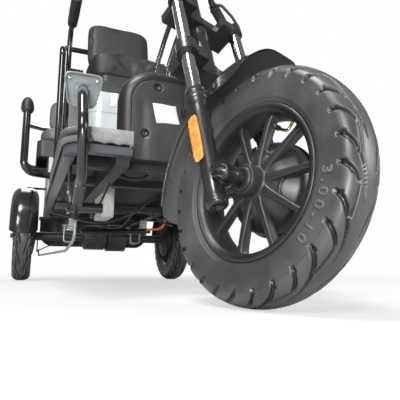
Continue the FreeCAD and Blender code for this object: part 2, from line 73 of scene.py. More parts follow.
def gridFaces(rows, columns, wrapRows=True, wrapColumns=True):
    # quads between neighbours of a rows x columns grid of points, joined end to end where it wraps
    i = np.arange(rows if wrapRows else rows - 1)
    j = np.arange(columns if wrapColumns else columns - 1)
    a, b = np.meshgrid(i, j, indexing="ij")
    a2, b2 = (a + 1) % rows, (b + 1) % columns
    quads = np.stack([a * columns + b, a2 * columns + b, a2 * columns + b2, a * columns + b2], -1)
    return quads.reshape(-1, 4)


def framesAlong(path):
    # direction of each point of a path, and two directions square to it that don't twist
    path = np.asarray(path, float)
    along = np.gradient(path, axis=0)
    along /= np.linalg.norm(along, axis=1)[:, None]
    side = np.empty_like(path)
    helper = np.array([0, 0, 1.0]) if abs(along[0][2]) < 0.9 else np.array([1.0, 0, 0])
    last = np.cross(along[0], helper)
    for k, way in enumerate(along):
        last = last - way * (last @ way)
        last = last / np.linalg.norm(last)
        side[k] = last
    return along, side, np.cross(along, side)


def smoothPath(points, count):
    # points on a spline (centripetal, passing through every point), count in all
    p = np.asarray(points, float)
    p = np.vstack([2 * p[0] - p[1], p, 2 * p[-1] - p[-2]])
    t = np.linspace(0, len(p) - 3 - 1e-9, count)
    k = t.astype(int)
    u = (t - k)[:, None]
    a, b, c, d = p[k], p[k + 1], p[k + 2], p[k + 3]
    return 0.5 * (2 * b + (c - a) * u + (2 * a - 5 * b + 4 * c - d) * u ** 2 + (3 * b - a - 3 * c + d) * u ** 3)


def tubeMesh(path, radius, sides=12):
    # a circle of the given radius carried along the path, closed by a point at each end
    path = np.asarray(path, float)
    way, side, up = framesAlong(path)
    angle = np.linspace(0, 2 * np.pi, sides, endpoint=False)
    radii = np.broadcast_to(np.asarray(radius, float), (len(path),))
    ring = np.cos(angle)[None, :, None] * side[:, None] + np.sin(angle)[None, :, None] * up[:, None]
    points = (path[:, None] + ring * radii[:, None, None]).reshape(-1, 3)
    faces = [tuple(q[::-1]) for q in gridFaces(len(path), sides, wrapRows=False)]
    first, last = len(points), len(points) + 1
    points = np.vstack([points, path[0], path[-1]])
    end = (len(path) - 1) * sides
    for k in range(sides):
        faces.append((first, (k + 1) % sides, k))
        faces.append((last, end + k, end + (k + 1) % sides))
    return points, faces


def latheMesh(profile, centre, axis, steps=64, closed=True):
    # (offset along the axis, radius) points turned once about the axis
    profile = np.asarray(profile, float)
    axis = np.asarray(axis, float) / np.linalg.norm(axis)
    helper = np.array([0, 0, 1.0]) if abs(axis[2]) < 0.9 else np.array([0, 1.0, 0])
    e1 = helper - axis * (helper @ axis)
    e1 /= np.linalg.norm(e1)
    e2 = np.cross(axis, e1)
    t = np.linspace(0, 2 * np.pi, steps, endpoint=False)
    radial = np.cos(t)[:, None] * e1 + np.sin(t)[:, None] * e2
    points = centre + radial[:, None] * profile[None, :, 1, None] + axis * profile[None, :, 0, None]
    return points.reshape(-1, 3), gridFaces(steps, len(profile), True, closed)


def joinMeshes(parts):
    points, faces, start = [], [], 0
    for p, f in parts:
        points.append(p)
        faces += [tuple(int(v) + start for v in face) for face in f]
        start += len(p)
    return np.vstack(points), faces


def fixNormals(piece, merge=0.00002):
    work = bmesh.new()
    work.from_mesh(piece.data)
    bmesh.ops.remove_doubles(work, verts=work.verts, dist=merge)
    bmesh.ops.recalc_face_normals(work, faces=work.faces)
    work.to_mesh(piece.data)
    work.free()
    return piece


def addPiece(name, points, faces, look, body, slotName):
    return fixNormals(addMesh(name, points, faces, looks[look], body))


def addGrid(name, points, look, body, slotName, wrapRows=False):
    # a (rows, columns, 3) grid of points, its columns joined end to end
    rows, columns = points.shape[:2]
    return addPiece(name, points, gridFaces(rows, columns, wrapRows), look, body, slotName)


def turned(points, angle=parkedTurn):
    # points of the straight-ahead fork turned about the steering axis
    k = steerAxis / np.linalg.norm(steerAxis)
    v = np.asarray(points, float) - steerPoint
    c, s = math.cos(angle), math.sin(angle)
    return steerPoint + v * c + np.cross(k, v) * s + np.outer(v @ k, k) * (1 - c)


# materials
def roundSquare(q, power):
    # radius of a superellipse |x|^power + |y|^power = 1 at angle q
    return (np.abs(np.cos(q)) ** power + np.abs(np.sin(q)) ** power) ** (-1 / power)


def link(tree, a, b):
    tree.links.new(a, b)


def newNode(tree, kind, values=None, **settings):
    node = tree.nodes.new("ShaderNode" + kind)
    for key, value in settings.items():
        setattr(node, key, value)
    for key, value in (values or {}).items():
        node.inputs[key].default_value = value
    return node


def toneRamp(tree, low, high, dark=None, light=None):
    ramp = newNode(tree, "ValToRGB")
    first, last = ramp.color_ramp.elements
    first.position, last.position = low, high
    if dark:
        first.color, last.color = (*dark, 1), (*light, 1)
    return ramp


def blendTone(tree, factor, under, over):
    mix = newNode(tree, "Mix", data_type="RGBA")
    mix.inputs["B"].default_value = (*over, 1)
    link(tree, factor, mix.inputs["Factor"])
    link(tree, under, mix.inputs["A"])
    return mix.outputs["Result"]


def surface(name, look):
    # colour that drifts between two tones, roughness and grain from noise on object coordinates
    material = bpy.data.materials.new(name)
    material.use_nodes = True
    tree = material.node_tree
    shader = tree.nodes["Principled BSDF"]
    place = newNode(tree, "TexCoord")
    broad = newNode(tree, "TexNoise", {"Scale": look.get("blotch", 9), "Detail": 6})
    link(tree, place.outputs["Object"], broad.inputs["Vector"])
    tones = toneRamp(tree, 0.35, 0.68, look["dark"], look["light"])
    link(tree, broad.outputs["Fac"], tones.inputs["Fac"])
    colour = tones.outputs["Color"]
    # sharp edges (high pointiness) take the look's edge colour: a painted highlight along edges
    if "edge" in look:
        point = newNode(tree, "NewGeometry")
        edgeHighlight = toneRamp(tree, 0.53, 0.6)
        link(tree, point.outputs["Pointiness"], edgeHighlight.inputs["Fac"])
        colour = blendTone(tree, edgeHighlight.outputs["Color"], colour, look["edge"])
    # points marked by the inside attribute take the look's inside colour: painted shade in the tyre grooves and in the
    # floor band's groove and underside, and a painted reflection of the floor on the front mudguard's inner skin
    if "inside" in look:
        mark = newNode(tree, "Attribute", attribute_name="inside")
        colour = blendTone(tree, mark.outputs["Fac"], colour, look["inside"])
    link(tree, colour, shader.inputs["Base Color"])
    spread = look.get("roughSpread", 0.06)
    rough = newNode(tree, "MapRange", {"To Min": look["rough"] - spread, "To Max": look["rough"] + spread})
    link(tree, broad.outputs["Fac"], rough.inputs["Value"])
    link(tree, rough.outputs["Result"], shader.inputs["Roughness"])
    shader.inputs["Metallic"].default_value = look.get("metal", 0.0)
    if look.get("coat"):
        shader.inputs["Coat Weight"].default_value = look["coat"]
        shader.inputs["Coat Roughness"].default_value = look.get("coatRough", 0.06)
    if look.get("grain"):
        cells = look.get("grainKind") == "cell"
        fine = newNode(tree, "TexVoronoi" if cells else "TexNoise", {"Scale": look["grain"]})
        link(tree, place.outputs["Object"], fine.inputs["Vector"])
        bump = newNode(tree, "Bump", {"Strength": look.get("grainDepth", 0.2),
                                      "Distance": look.get("grainHeight", 0.0006)})
        link(tree, fine.outputs["Distance" if cells else "Fac"], bump.inputs["Height"])
        link(tree, bump.outputs["Normal"], shader.inputs["Normal"])
    return material


finishes = {
    # tyreRubber: inside is a near-black painted shade in the tread grooves
    "tyreRubber": dict(dark=(0.036, 0.036, 0.034), light=(0.066, 0.066, 0.063), rough=0.36, roughSpread=0.1,
                       grain=900, grainDepth=0.12,
                       blotch=14, inside=(0.006, 0.006, 0.006)),
    "castGrey": dict(dark=(0.018, 0.018, 0.017), light=(0.03, 0.03, 0.029), rough=0.4, metal=0.2, coat=0.15,
                     coatRough=0.3, grain=700,
                     grainDepth=0.1),
    "blackGloss": dict(dark=(0.006, 0.006, 0.006), light=(0.011, 0.011, 0.011), rough=0.18, coat=0.6),
    "forkBlack": dict(dark=(0.009, 0.009, 0.009), light=(0.018, 0.018, 0.018), rough=0.32, coat=0.3, metal=0.1),
    "chromeBright": dict(dark=(0.42, 0.44, 0.45), light=(0.58, 0.6, 0.61), rough=0.14, metal=1.0, roughSpread=0.04),
    "zincSteel": dict(dark=(0.4, 0.42, 0.45), light=(0.56, 0.58, 0.61), rough=0.38, metal=0.85, blotch=25, grain=300,
                      grainDepth=0.08),
    "dullCast": dict(dark=(0.03, 0.03, 0.032), light=(0.06, 0.06, 0.062), rough=0.5, metal=0.3, grain=400,
                     grainDepth=0.25),
    "glossPlastic": dict(dark=(0.01, 0.01, 0.011), light=(0.018, 0.018, 0.019), rough=0.2, coat=0.4),
    "charcoal": dict(dark=(0.02, 0.02, 0.0185), light=(0.036, 0.036, 0.033), rough=0.45, coat=0.1, coatRough=0.3,
                     grain=1100, grainDepth=0.2),
    # framePaint: edge is a lighter colour on sharp edges, a painted highlight
    "framePaint": dict(dark=(0.02, 0.021, 0.025), light=(0.045, 0.047, 0.054), rough=0.32, coat=0.15, metal=0.3,
                       grain=250, grainDepth=0.12, edge=(0.09, 0.095, 0.105)),
    # the frame paint again, darker, on the spines and crossmembers under the floor: painted shade; its edge colour is
    # a painted highlight
    "shadedFramePaint": dict(dark=(0.009, 0.0095, 0.011), light=(0.024, 0.025, 0.029), rough=0.42, metal=0.2, grain=250,
                       grainDepth=0.12, edge=(0.03, 0.032, 0.037)),
    "silverPaint": dict(dark=(0.46, 0.49, 0.5), light=(0.6, 0.63, 0.64), rough=0.3, metal=0.3, coat=0.3),
    # the seat leather is kept in two copies of one material: this darker one on the driver's seat is painted shade
    "leather": dict(dark=(0.007, 0.0075, 0.0065), light=(0.013, 0.0135, 0.012), rough=0.55, grain=420,
                    grainKind="cell",
                    grainDepth=0.35, grainHeight=0.0005),
    "softRubber": dict(dark=(0.012, 0.012, 0.012), light=(0.024, 0.024, 0.023), rough=0.5, grain=900, grainDepth=0.3),
    "orangeLens": dict(dark=(0.66, 0.17, 0.015), light=(0.85, 0.33, 0.07), rough=0.25, coat=0.8, grain=260,
                       grainKind="cell", grainDepth=0.6, blotch=90),
    "satinBlack": dict(dark=(0.005, 0.005, 0.005), light=(0.01, 0.01, 0.01), rough=0.42),
    # the same seat leather made about ten times lighter for the bench: painted light on its lit rounding
    "litBenchLeather": dict(dark=(0.07, 0.071, 0.069), light=(0.12, 0.122, 0.118), rough=0.45, grain=420, grainKind="cell",
                      grainDepth=0.3, grainHeight=0.0004),
    "tyreText": dict(dark=(0.07, 0.07, 0.07), light=(0.1, 0.1, 0.1), rough=0.6),
    "brass": dict(dark=(0.45, 0.28, 0.07), light=(0.62, 0.42, 0.13), rough=0.28, metal=1.0),
    "darkZinc": dict(dark=(0.05, 0.05, 0.05), light=(0.14, 0.135, 0.125), rough=0.32, metal=0.8, blotch=90),
    # guardShell: inside is a pale grey on the inner skin, a painted reflection of the pale floor
    "guardShell": dict(dark=(0.02, 0.02, 0.021), light=(0.032, 0.032, 0.033), rough=0.3, coat=0.3,
                       inside=(0.1, 0.106, 0.098)),
    # pale grey on the front face of the floor's edge: painted light; the footboard itself is dark
    "litFaceGrey": dict(dark=(0.14, 0.145, 0.14), light=(0.26, 0.267, 0.26), rough=0.65, blotch=30, grain=600,
                      grainDepth=0.3),
    # edgeBand: lighter than the footboard as a painted highlight on its rounded lips; inside is painted shade in its
    # groove and underside
    "edgeBand": dict(dark=(0.07, 0.071, 0.073), light=(0.14, 0.142, 0.145), rough=0.36, coat=0.3, blotch=20,
                     inside=(0.004, 0.004, 0.004)),
    "zincPlate": dict(dark=(0.17, 0.19, 0.198), light=(0.235, 0.26, 0.268), rough=0.36, metal=0.2, blotch=25,
                      grain=300,
                      grainDepth=0.06),
    "labelPaper": dict(dark=(0.52, 0.52, 0.54), light=(0.6, 0.6, 0.62), rough=0.5),
    "ribbedAlloy": dict(dark=(0.55, 0.56, 0.53), light=(0.72, 0.73, 0.7), rough=0.45, metal=0.1, blotch=40),
    "orangeTube": dict(dark=(0.62, 0.1, 0.02), light=(0.8, 0.17, 0.04), rough=0.5),
    "brownCast": dict(dark=(0.05, 0.04, 0.036), light=(0.1, 0.082, 0.072), rough=0.5, metal=0.4, blotch=60),
    "mirrorGlass": dict(dark=(0.7, 0.72, 0.74), light=(0.78, 0.8, 0.82), rough=0.04, metal=1.0, roughSpread=0.02),
    "clearLens": dict(dark=(0.5, 0.52, 0.54), light=(0.7, 0.72, 0.74), rough=0.12, coat=1.0, grain=180,
                      grainKind="cell", grainDepth=0.4),
    "redLens": dict(dark=(0.4, 0.008, 0.008), light=(0.5, 0.012, 0.01), rough=0.15, coat=0.8, grain=260,
                    grainKind="cell", grainDepth=0.4),
}
looks = {name: surface(name, look) for name, look in finishes.items()}
nodeFinish = {
    "castGrey": ["front_rim", "rear_rim_right", "rear_rim_left"],
    "blackGloss": ["handlebar", "bench_back_frame", "passenger_armrest_left", "passenger_armrest_right",
                   "driver_armrests", "grab_hoop", "tail_bumper", "brake_pedal"],
    "forkBlack": ["steering_stem", "fork_leg_right", "fork_leg_left", "head_tube", "mudguard_stays"],
    "chromeBright": ["fork_stanchions"],
    "zincSteel": ["leaf_springs"], "darkZinc": ["front_axle"], "zincPlate": ["brake_rod"],
    "dullCast": ["front_brake_plate", "rear_brake_left", "rear_brake_right", "rear_axle", "motor", "brake_levers",
                 "converter"],
    "glossPlastic": ["front_mudguard", "rear_mudguard_left", "rear_mudguard_right", "mirrors", "headlight"],
    "charcoal": ["footboard", "leg_shield", "seat_base", "bench_tray", "display", "battery_pack"],
    "framePaint": ["frame_rails"],
    "shadedFramePaint": ["frame_spines", "frame_crossmembers"],
    "silverPaint": ["battery_box", "bench_side_panels", "bench_end_panels"],
    "leather": ["seat_cushion", "seat_backrest", "bench_cushion", "bench_backrest"],
    "softRubber": ["handlebar_grips", "armrest_pads", "armrest_knobs"],
    "orangeLens": ["fork_reflectors"],
    "redLens": ["tail_lamps"],
    "tyreRubber": ["front_tyre", "rear_tyre_right", "rear_tyre_left"],
}
for finish, names in nodeFinish.items():
    for name in names:
        nodes[name].data.materials.clear()
        nodes[name].data.materials.append(looks[finish])
print("finishes on", len(nodes), "nodes")

# wheels
def spun(vector):
    return turned(steerPoint + np.asarray(vector, float)[None])[0] - steerPoint


# each wheel: centre, axle direction, then the directions of angle 0 (up) and angle 90 degrees (forwards)
wheels = {
    "front": (frontCentre, spun((1, 0, 0)), spun((0, 0, 1)), spun((0, -1, 0)), "front_wheel"),
    "right": (rearRight, np.array([1.0, 0, 0]), np.array([0, 0, 1.0]), np.array([0, -1.0, 0]), "rear_wheel_right"),
    "left": (rearLeft, np.array([1.0, 0, 0]), np.array([0, 0, 1.0]), np.array([0, -1.0, 0]), "rear_wheel_left"),
}


def onWheel(which, x, r, angle):
    # point at x along the axle, r out from it, angle round from the top towards the front
    centre, axle, up, fore, body = wheels[which]
    x, r, angle = np.broadcast_arrays(np.asarray(x, float), r, angle)
    return centre + axle * x[..., None] + r[..., None] * (np.cos(angle)[..., None] * up + np.sin(angle)[...,
                                                                                                        None] * fore)


tyreRadius = 0.208
tread = {"units": 14, "groove": 0.0027, "depth": 0.0058, "shoulder": 0.6}


def tyreProfile(v):
    # v from -1 (right bead) over the crown to +1 (left bead): offset from the middle plane, and radius
    key = np.array([(0, 208, 0), (11, 207.4, 0.14), (21, 205.2, 0.28), (29.5, 200.8, 0.4), (35.4, 194.5, 0.5),
                    (38.4, 187, 0.6), (39.7, 176, 0.7), (39.4, 163, 0.8), (36.6, 150, 0.9), (30.8, 139.0, 1.0)])
    line = smoothPath(key, 500)
    w = np.abs(v)
    return np.sign(v) * np.interp(w, line[:, 2], line[:, 0]) / 1000, np.interp(w, line[:, 2], line[:, 1]) / 1000


def treadDepth(angle, v):
    # 1 inside a groove: each unit has a long groove from the shoulder to near the crown, a shorter one that
    # turns along the tyre to meet it, and notches at the shoulder
    unit = 2 * np.pi / tread["units"]
    reach = unit * tyreRadius
    w = np.abs(v)
    t = angle / unit + np.where(v > 0, 0.5, 0.0)

    def near(d, width=1.0):
        return np.clip((tread["groove"] * width - d) / 0.0008 + 0.5, 0, 1)

    def across(keyW, keyT, width=1.0):
        line = np.interp(w, keyW, keyT)
        slope = np.interp(w, keyW, np.gradient(keyT, keyW)) * reach / 0.075
        d = np.abs((t - line + 0.5) % 1 - 0.5) * reach / np.sqrt(1 + slope ** 2)
        return near(d, width) * (w > keyW[0]) * (w < keyW[-1])
    long = across(np.array([0.1, 0.2, 0.3, 0.37, 0.48, 0.64]), np.array([0.98, 0.62, 0.4, 0.26, 0.1, 0.0]))
    short = across(np.array([0.27, 0.36, 0.48, 0.64]), np.array([-0.16, -0.3, -0.42, -0.5]))
    s = (t + 0.16) % 1
    joinLine = 0.287
    join = near(np.abs(w - joinLine) * 0.105) * (s < 0.5)
    notch = across(np.array([0.5, 0.56, 0.66]), np.array([0.02, 0.005, 0.0]), 1.5)
    notchB = across(np.array([0.5, 0.56, 0.66]), np.array([-0.44, -0.48, -0.5]), 1.5)
    return np.clip(np.maximum.reduce([long, short, join, notch, notchB]), 0, 1)



def addTyre(which, around, acrossCount, node):
    # the profile turned about the axle, sunk along its own normal in the grooves, closed over the rim seat
    angle = np.linspace(0, 2 * np.pi, around, endpoint=False)
    v = np.linspace(-1, 1, acrossCount)
    x, r = tyreProfile(v)
    tangent = np.stack([np.gradient(x), np.gradient(r)], 1)
    tangent /= np.linalg.norm(tangent, axis=1)[:, None]
    normal = np.stack([-tangent[:, 1], tangent[:, 0]], 1)
    turn, across = np.meshgrid(angle, v, indexing="ij")
    w = np.abs(across)
    lift = -treadDepth(turn, across) * tread["depth"]
    lift = lift + 0.0013 * np.clip((tread["shoulder"] + 0.03 - w) / 0.012, 0, 1)  # tread stands over the sidewall
    lift = lift + 0.0007 * (np.abs(w - 0.915) < 0.012) + 0.0005 * (np.abs(w - 0.655) < 0.01)
    aside = x[None] + normal[None, :, 0] * lift
    out = r[None] + normal[None, :, 1] * lift
    seat = np.array([[0.0272, 0.1388], [0.0272, 0.1284], [-0.0272, 0.1284], [-0.0272, 0.1388]])
    aside = np.hstack([aside, np.tile(seat[:, 0], (around, 1))])
    out = np.hstack([out, np.tile(seat[:, 1], (around, 1))])
    points = onWheel(which, aside, out, angle[:, None])
    piece = addMesh(which + "Tyre", points.reshape(-1, 3), gridFaces(around, acrossCount + 4), looks["tyreRubber"],
                    wheels[which][4])
    # groove depth marks where the rubber is painted near black: painted shade in the grooves
    sunk = np.hstack([treadDepth(turn, across), np.zeros((around, 4))])
    piece.data.attributes.new("inside", "FLOAT", "POINT").data.foreach_set("value", sunk.reshape(-1))
    fixNormals(piece)
    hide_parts(node)


addTyre("front", 860, 109, "front_tyre")
addTyre("right", 620, 59, "rear_tyre_right")
addTyre("left", 620, 59, "rear_tyre_left")

sizeText = {"text": "3.00-10", "height": 0.0175, "radius": 0.1562, "middle": math.radians(111), "lift": 0.0012}


def addSizeText():
    # plain size raised on the front tyre's right sidewall: x of the text runs round the wheel, y outwards
    curve = bpy.data.curves.new("sizeText", "FONT")
    curve.body = sizeText["text"]
    curve.size, curve.space_character, curve.resolution_u, curve.offset = 1.0, 1.45, 3, 0.034
    flat = bpy.data.objects.new("sizeTextFlat", curve)
    bpy.context.scene.collection.objects.link(flat)
    bpy.context.view_layer.update()
    mesh = bpy.data.meshes.new_from_object(flat.evaluated_get(bpy.context.evaluated_depsgraph_get()))
    bpy.data.objects.remove(flat)
    work = bmesh.new()
    work.from_mesh(mesh)
    bmesh.ops.triangulate(work, faces=work.faces)
    for _ in range(2):
        bmesh.ops.subdivide_edges(work, edges=[e for e in work.edges if e.calc_length() > 0.16], cuts=1)
    raised = bmesh.ops.extrude_face_region(work, geom=list(work.faces))
    upper = {v for v in raised["geom"] if isinstance(v, bmesh.types.BMVert)}
    work.verts.index_update()
    top = np.array([v in upper for v in work.verts])
    flatPoints = np.array([v.co for v in work.verts])
    work.to_mesh(mesh)
    work.free()
    scale = sizeText["height"] / 0.7
    width = flatPoints[:, 0].max() * scale
    r = sizeText["radius"] + flatPoints[:, 1] * scale
    angle = sizeText["middle"] + (flatPoints[:, 0] * scale - width / 2) / sizeText["radius"]
    v = np.linspace(0.55, 1, 200)
    px, pr = tyreProfile(v)
    x = -np.interp(r, pr[::-1], px[::-1]) - np.where(top, sizeText["lift"], -0.0008)
    mesh.vertices.foreach_set("co", onWheel("front", x, r, angle).ravel())
    piece = bpy.data.objects.new("sizeText", mesh)
    bpy.context.scene.collection.objects.link(piece)
    mesh.materials.append(looks["tyreText"])
    fixNormals(piece, 0.000005)
    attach(piece, "front_wheel")


addSizeText()

wheelCast = {"pairs": 5, "split": 18, "phase": 29, "near": 0.0078, "far": 0.0052}


def addRim(which, node, drum):
    # lathe for barrel, hub and brake bowl; each spoke is a rounded bar whose size shrinks from hub to barrel
    def spin(profile, steps=120, closed=True):
        profile = np.array(profile) / 1000
        angle = np.linspace(0, 2 * np.pi, steps, endpoint=False)
        points = onWheel(which, profile[None, :, 0] * drum, profile[None, :, 1], angle[:, None])
        return points.reshape(-1, 3), gridFaces(steps, len(profile), True, closed)
    barrel = spin([(-33.5, 133.5), (-33.4, 136.5), (-31.8, 138.6), (-29.6, 138.6), (-28.2, 136), (-27.5, 128.2),
                   (-12, 127.5), (12, 127.5), (27.5, 128.2), (28.2, 136), (29.6, 138.6), (31.8, 138.6), (33.4, 136.5),
                   (33.5, 133.5), (32, 130.2), (30.8, 130.4), (30, 128), (29, 127.6), (28.2, 125.5), (24, 123),
                   (12, 121), (-12, 121), (-24, 123), (-28.2, 125.5), (-29, 127.6), (-30, 128), (-30.8, 130.4),
                   (-32, 130.2)], 180)
    hub = spin([(-48, 11.2), (-48, 19), (-47, 20), (-45.5, 20.2), (-45, 22), (-46, 24.6), (-44.5, 26.4), (-30, 27.2),
                (-24, 28), (-21, 30.5), (-19, 36), (-17, 44), (-13, 53), (-6, 62), (3, 71), (8, 77), (12, 80.5),
                (18, 83),
                (30, 84.2), (35, 84), (36.4, 82.5), (36, 79), (30, 78), (10, 76), (2, 60), (2, 11.2)], 120)
    parts = [barrel, hub]
    u = np.linspace(0, 1, 26)
    q = np.linspace(0, 2 * np.pi, 24, endpoint=False)
    ring = roundSquare(q, 4.5)
    for pair in range(wheelCast["pairs"]):
        for side in (-1, 1):
            angle0 = math.radians(wheelCast["phase"] + 72 * pair + side * wheelCast["split"])
            r = 0.03 + u * 0.0935
            flare = 1 + 0.9 * np.exp(-(1 - u) * 22) + 0.35 * np.exp(-u * 9)
            half = (wheelCast["near"] * (1 - u) + wheelCast["far"] * u) * flare
            front = -0.0215 + 0.006 * u ** 1.2
            back = np.interp(u, [0, 0.45, 1], [-0.004, -0.001, 0.006])
            middle, deep = (front + back) / 2, (back - front) / 2
            offset = middle[:, None] + deep[:, None] * (ring * np.cos(q))[None]
            wide = half[:, None] * (ring * np.sin(q))[None]
            out = np.broadcast_to(r[:, None], offset.shape)
            centre, axle, up, fore, body = wheels[which]
            spoke = math.cos(angle0) * up + math.sin(angle0) * fore
            aside = -math.sin(angle0) * up + math.cos(angle0) * fore
            points = centre + axle * (offset * drum)[..., None] + spoke * out[..., None] + aside * wide[..., None]
            parts.append((points.reshape(-1, 3), gridFaces(len(u), len(q), wrapRows=False)))
        # web between the two spokes of a pair, a curved floor from the hub out to a rounded edge
        angle0 = math.radians(wheelCast["phase"] + 72 * pair)
        a = np.linspace(-1, 1, 17)
        k = np.linspace(0, 1, 12)
        spread, depth = np.meshgrid(a, k, indexing="ij")
        edge = 0.07 - 0.012 * (1 - spread ** 2)
        reach = 0.034 + depth * (edge - 0.034)
        swing = math.radians(wheelCast["split"]) * spread
        top = onWheel(which, (-0.0165 + 0.004 * depth) * drum, reach, angle0 + swing)
        low = onWheel(which, (-0.0075 + 0.006 * depth) * drum, reach, angle0 + swing)
        web = np.concatenate([top, low[:, ::-1]], 1)
        parts.append((web.reshape(-1, 3), gridFaces(len(a), 2 * len(k), wrapRows=False)))
    points, faces = joinMeshes(parts)
    piece = addPiece(which + "Rim", points, faces, "castGrey", wheels[which][4], "cast_wheel")
    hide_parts(node)


addRim("front", "front_rim", 1)
addRim("right", "rear_rim_right", 1)
addRim("left", "rear_rim_left", -1)

valveStem = {"angle": math.radians(34), "radius": 0.0026}


def addValve(which, drum):
    # bent stem on the barrel's inside with a cap at its end
    a = valveStem["angle"]
    bend = [(-0.004, 0.1215), (-0.004, 0.11), (-0.0065, 0.1035), (-0.016, 0.101), (-0.0255, 0.1005)]
    path = smoothPath([onWheel(which, x * drum, r, a) for x, r in bend], 24)
    points, faces = tubeMesh(path, valveStem["radius"], 12)
    addPiece(which + "ValveStem", points, faces, "brass", wheels[which][4], "zinc_steel")
    cap = np.linspace(onWheel(which, -0.0225 * drum, 0.1005, a), onWheel(which, -0.037 * drum, 0.1002, a), 12)
    grip = 0.0044 + 0.0003 * np.cos(np.arange(12) * np.pi)
    grip[0], grip[-1] = 0.0036, 0.003
    points, faces = tubeMesh(cap, grip, 14)
    addPiece(which + "ValveCap", points, faces, "softRubber", wheels[which][4], "soft_rubber")


addValve("front", 1)
print("wheels done")

# fork
forkPlace = {"legSide": 0.087, "lead": 0.039, "foot": -0.044}
axisFoot = np.array([0, -0.823, 0.20874]) - 0.065 * np.array([0, -math.cos(math.radians(24)),
                                                              math.sin(math.radians(24))])
straightUp = np.array([0, math.sin(math.radians(24)), math.cos(math.radians(24))])
straightAhead = np.array([0, -math.cos(math.radians(24)), math.sin(math.radians(24))])


def onFork(t, lead, x):
    # t up the steering axis, lead ahead of it, x to the left, turned with the fork
    t, lead, x = np.broadcast_arrays(np.asarray(t, float), lead, x)
    flat = axisFoot + t[..., None] * straightUp + lead[..., None] * straightAhead + x[...,
                                                                                      None] * np.array([1.0, 0, 0])
    return turned(flat.reshape(-1, 3)).reshape(flat.shape)


def legSpin(profile, x0, steps=48, closed=False):
    # (t, radius) points in millimetres turned about a leg's own line
    profile = np.array(profile) / 1000
    q = np.linspace(0, 2 * np.pi, steps, endpoint=False)
    points = onFork(profile[None, :, 0], forkPlace["lead"] + profile[None, :, 1] * np.sin(q)[:, None],
                    x0 + profile[None, :, 1] * np.cos(q)[:, None])
    return points.reshape(-1, 3), gridFaces(steps, len(profile), True, closed)


def axleSpin(profile, steps=48, closed=False, sides=0):
    # (x, radius) points in millimetres turned about the front axle; sides > 0 makes flats, as on a nut
    profile = np.array(profile) / 1000
    q = np.linspace(0, 2 * np.pi, steps, endpoint=False)
    flat = np.ones(steps)
    if sides:
        flat = math.cos(math.pi / sides) / np.cos((q + math.pi / sides) % (2 * math.pi / sides) - math.pi / sides)
    points = onWheel("front", profile[None, :, 0], profile[None, :, 1] * flat[:, None], q[:, None])
    return points.reshape(-1, 3), gridFaces(steps, len(profile), True, closed)


for side, name in ((-1, "right"), (1, "left")):
    x0 = side * forkPlace["legSide"]
    leg = legSpin([(-46, 0), (-46, 5.6), (-52, 6), (-52, 13), (-51, 16.5), (-48, 18.6), (-40, 19), (-36.5, 18.4),
                   (-35, 17),
                   (20, 17), (120, 17.2), (158, 17.4), (161, 18.6), (164, 20.5), (168, 21.6), (171, 22.4),
                   (174, 22.6),
                   (184, 22.6), (184.6, 21.8), (186.6, 21.8), (187.2, 22.6), (195, 22.5), (196, 20.4), (203, 20.2),
                   (206, 19), (206.4, 14.6), (203, 14.3)], x0)
    lug = axleSpin([(side * 60, 11.2), (side * 60, 13), (side * 61.5, 14.6), (side * 66, 15), (side * 86, 15),
                    (side * 89.5, 14.4), (side * 91.4, 12.8), (side * 91.4, 11.2)])
    # shoulder joining leg and lug: oval sections from the leg's middle out to the axle
    u = np.linspace(0, 1, 14)
    q = np.linspace(0, 2 * np.pi, 28, endpoint=False)
    tall = 0.026 * (1 - u) ** 1.5 + 0.0155 * u + 0.002
    wide = 0.0165 * (1 - u) + 0.0115 * u
    xs = x0 * (1 - u) + side * 0.0775 * u
    lead = forkPlace["lead"] + u * 0.0235
    points = onFork(tall[:, None] * np.cos(q)[None], lead[:, None], xs[:, None] + wide[:, None] * np.sin(q)[None])
    shoulder = (points.reshape(-1, 3), gridFaces(len(u), len(q), wrapRows=False))
    points, faces = joinMeshes([leg, lug, shoulder])
    piece = addPiece("forkLeg" + name.title(), points, faces, "forkBlack", "steering", "black_gloss_plastic")
    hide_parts("fork_leg_" + name)
    nut = axleSpin([(side * 91.6, 0), (side * 91.6, 15.2), (side * 93, 15.6), (side * 93.6, 12.6), (side * 101, 12.6),
                    (side * 102, 11.4), (side * 102, 6.8), (side * 108.4, 6.8), (side * 109, 6), (side * 109, 0)], 60,
                    sides=6)
    piece = addPiece("axleNut" + name.title(), *nut, "darkZinc", "steering", "zinc_steel")
    # embossed reflector on a curved base, facing outwards
    u = np.linspace(0, 1, 60)
    q = np.linspace(0, 2 * np.pi, 40, endpoint=False)
    ring = roundSquare(q, 6)
    ends = np.sqrt(np.clip(1 - np.abs(2 * u - 1) ** 10, 0, 1))
    across = 0.0112 * (ring * np.cos(q))[None] * (0.4 + 0.6 * ends)[:, None]
    thick = 0.0032 * (ring * np.sin(q))[None] * ends[:, None]
    t = np.broadcast_to(0.0345 + u[:, None] * 0.098, across.shape)
    pads = 0.0006 * np.sin(t * 480) * np.sin(across * 560 + t * 90) * (thick * side > 0)
    points = onFork(t, forkPlace["lead"] + across, x0 + side * 0.0205 + thick + side * pads)
    piece = addGrid("reflector" + name.title(), points, "orangeLens", "steering", "orange_lens")
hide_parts("fork_reflectors")
print("fork done")

# front mudguard
guardForm = {"lead": 8, "trail": 104, "thick": 0.0028}


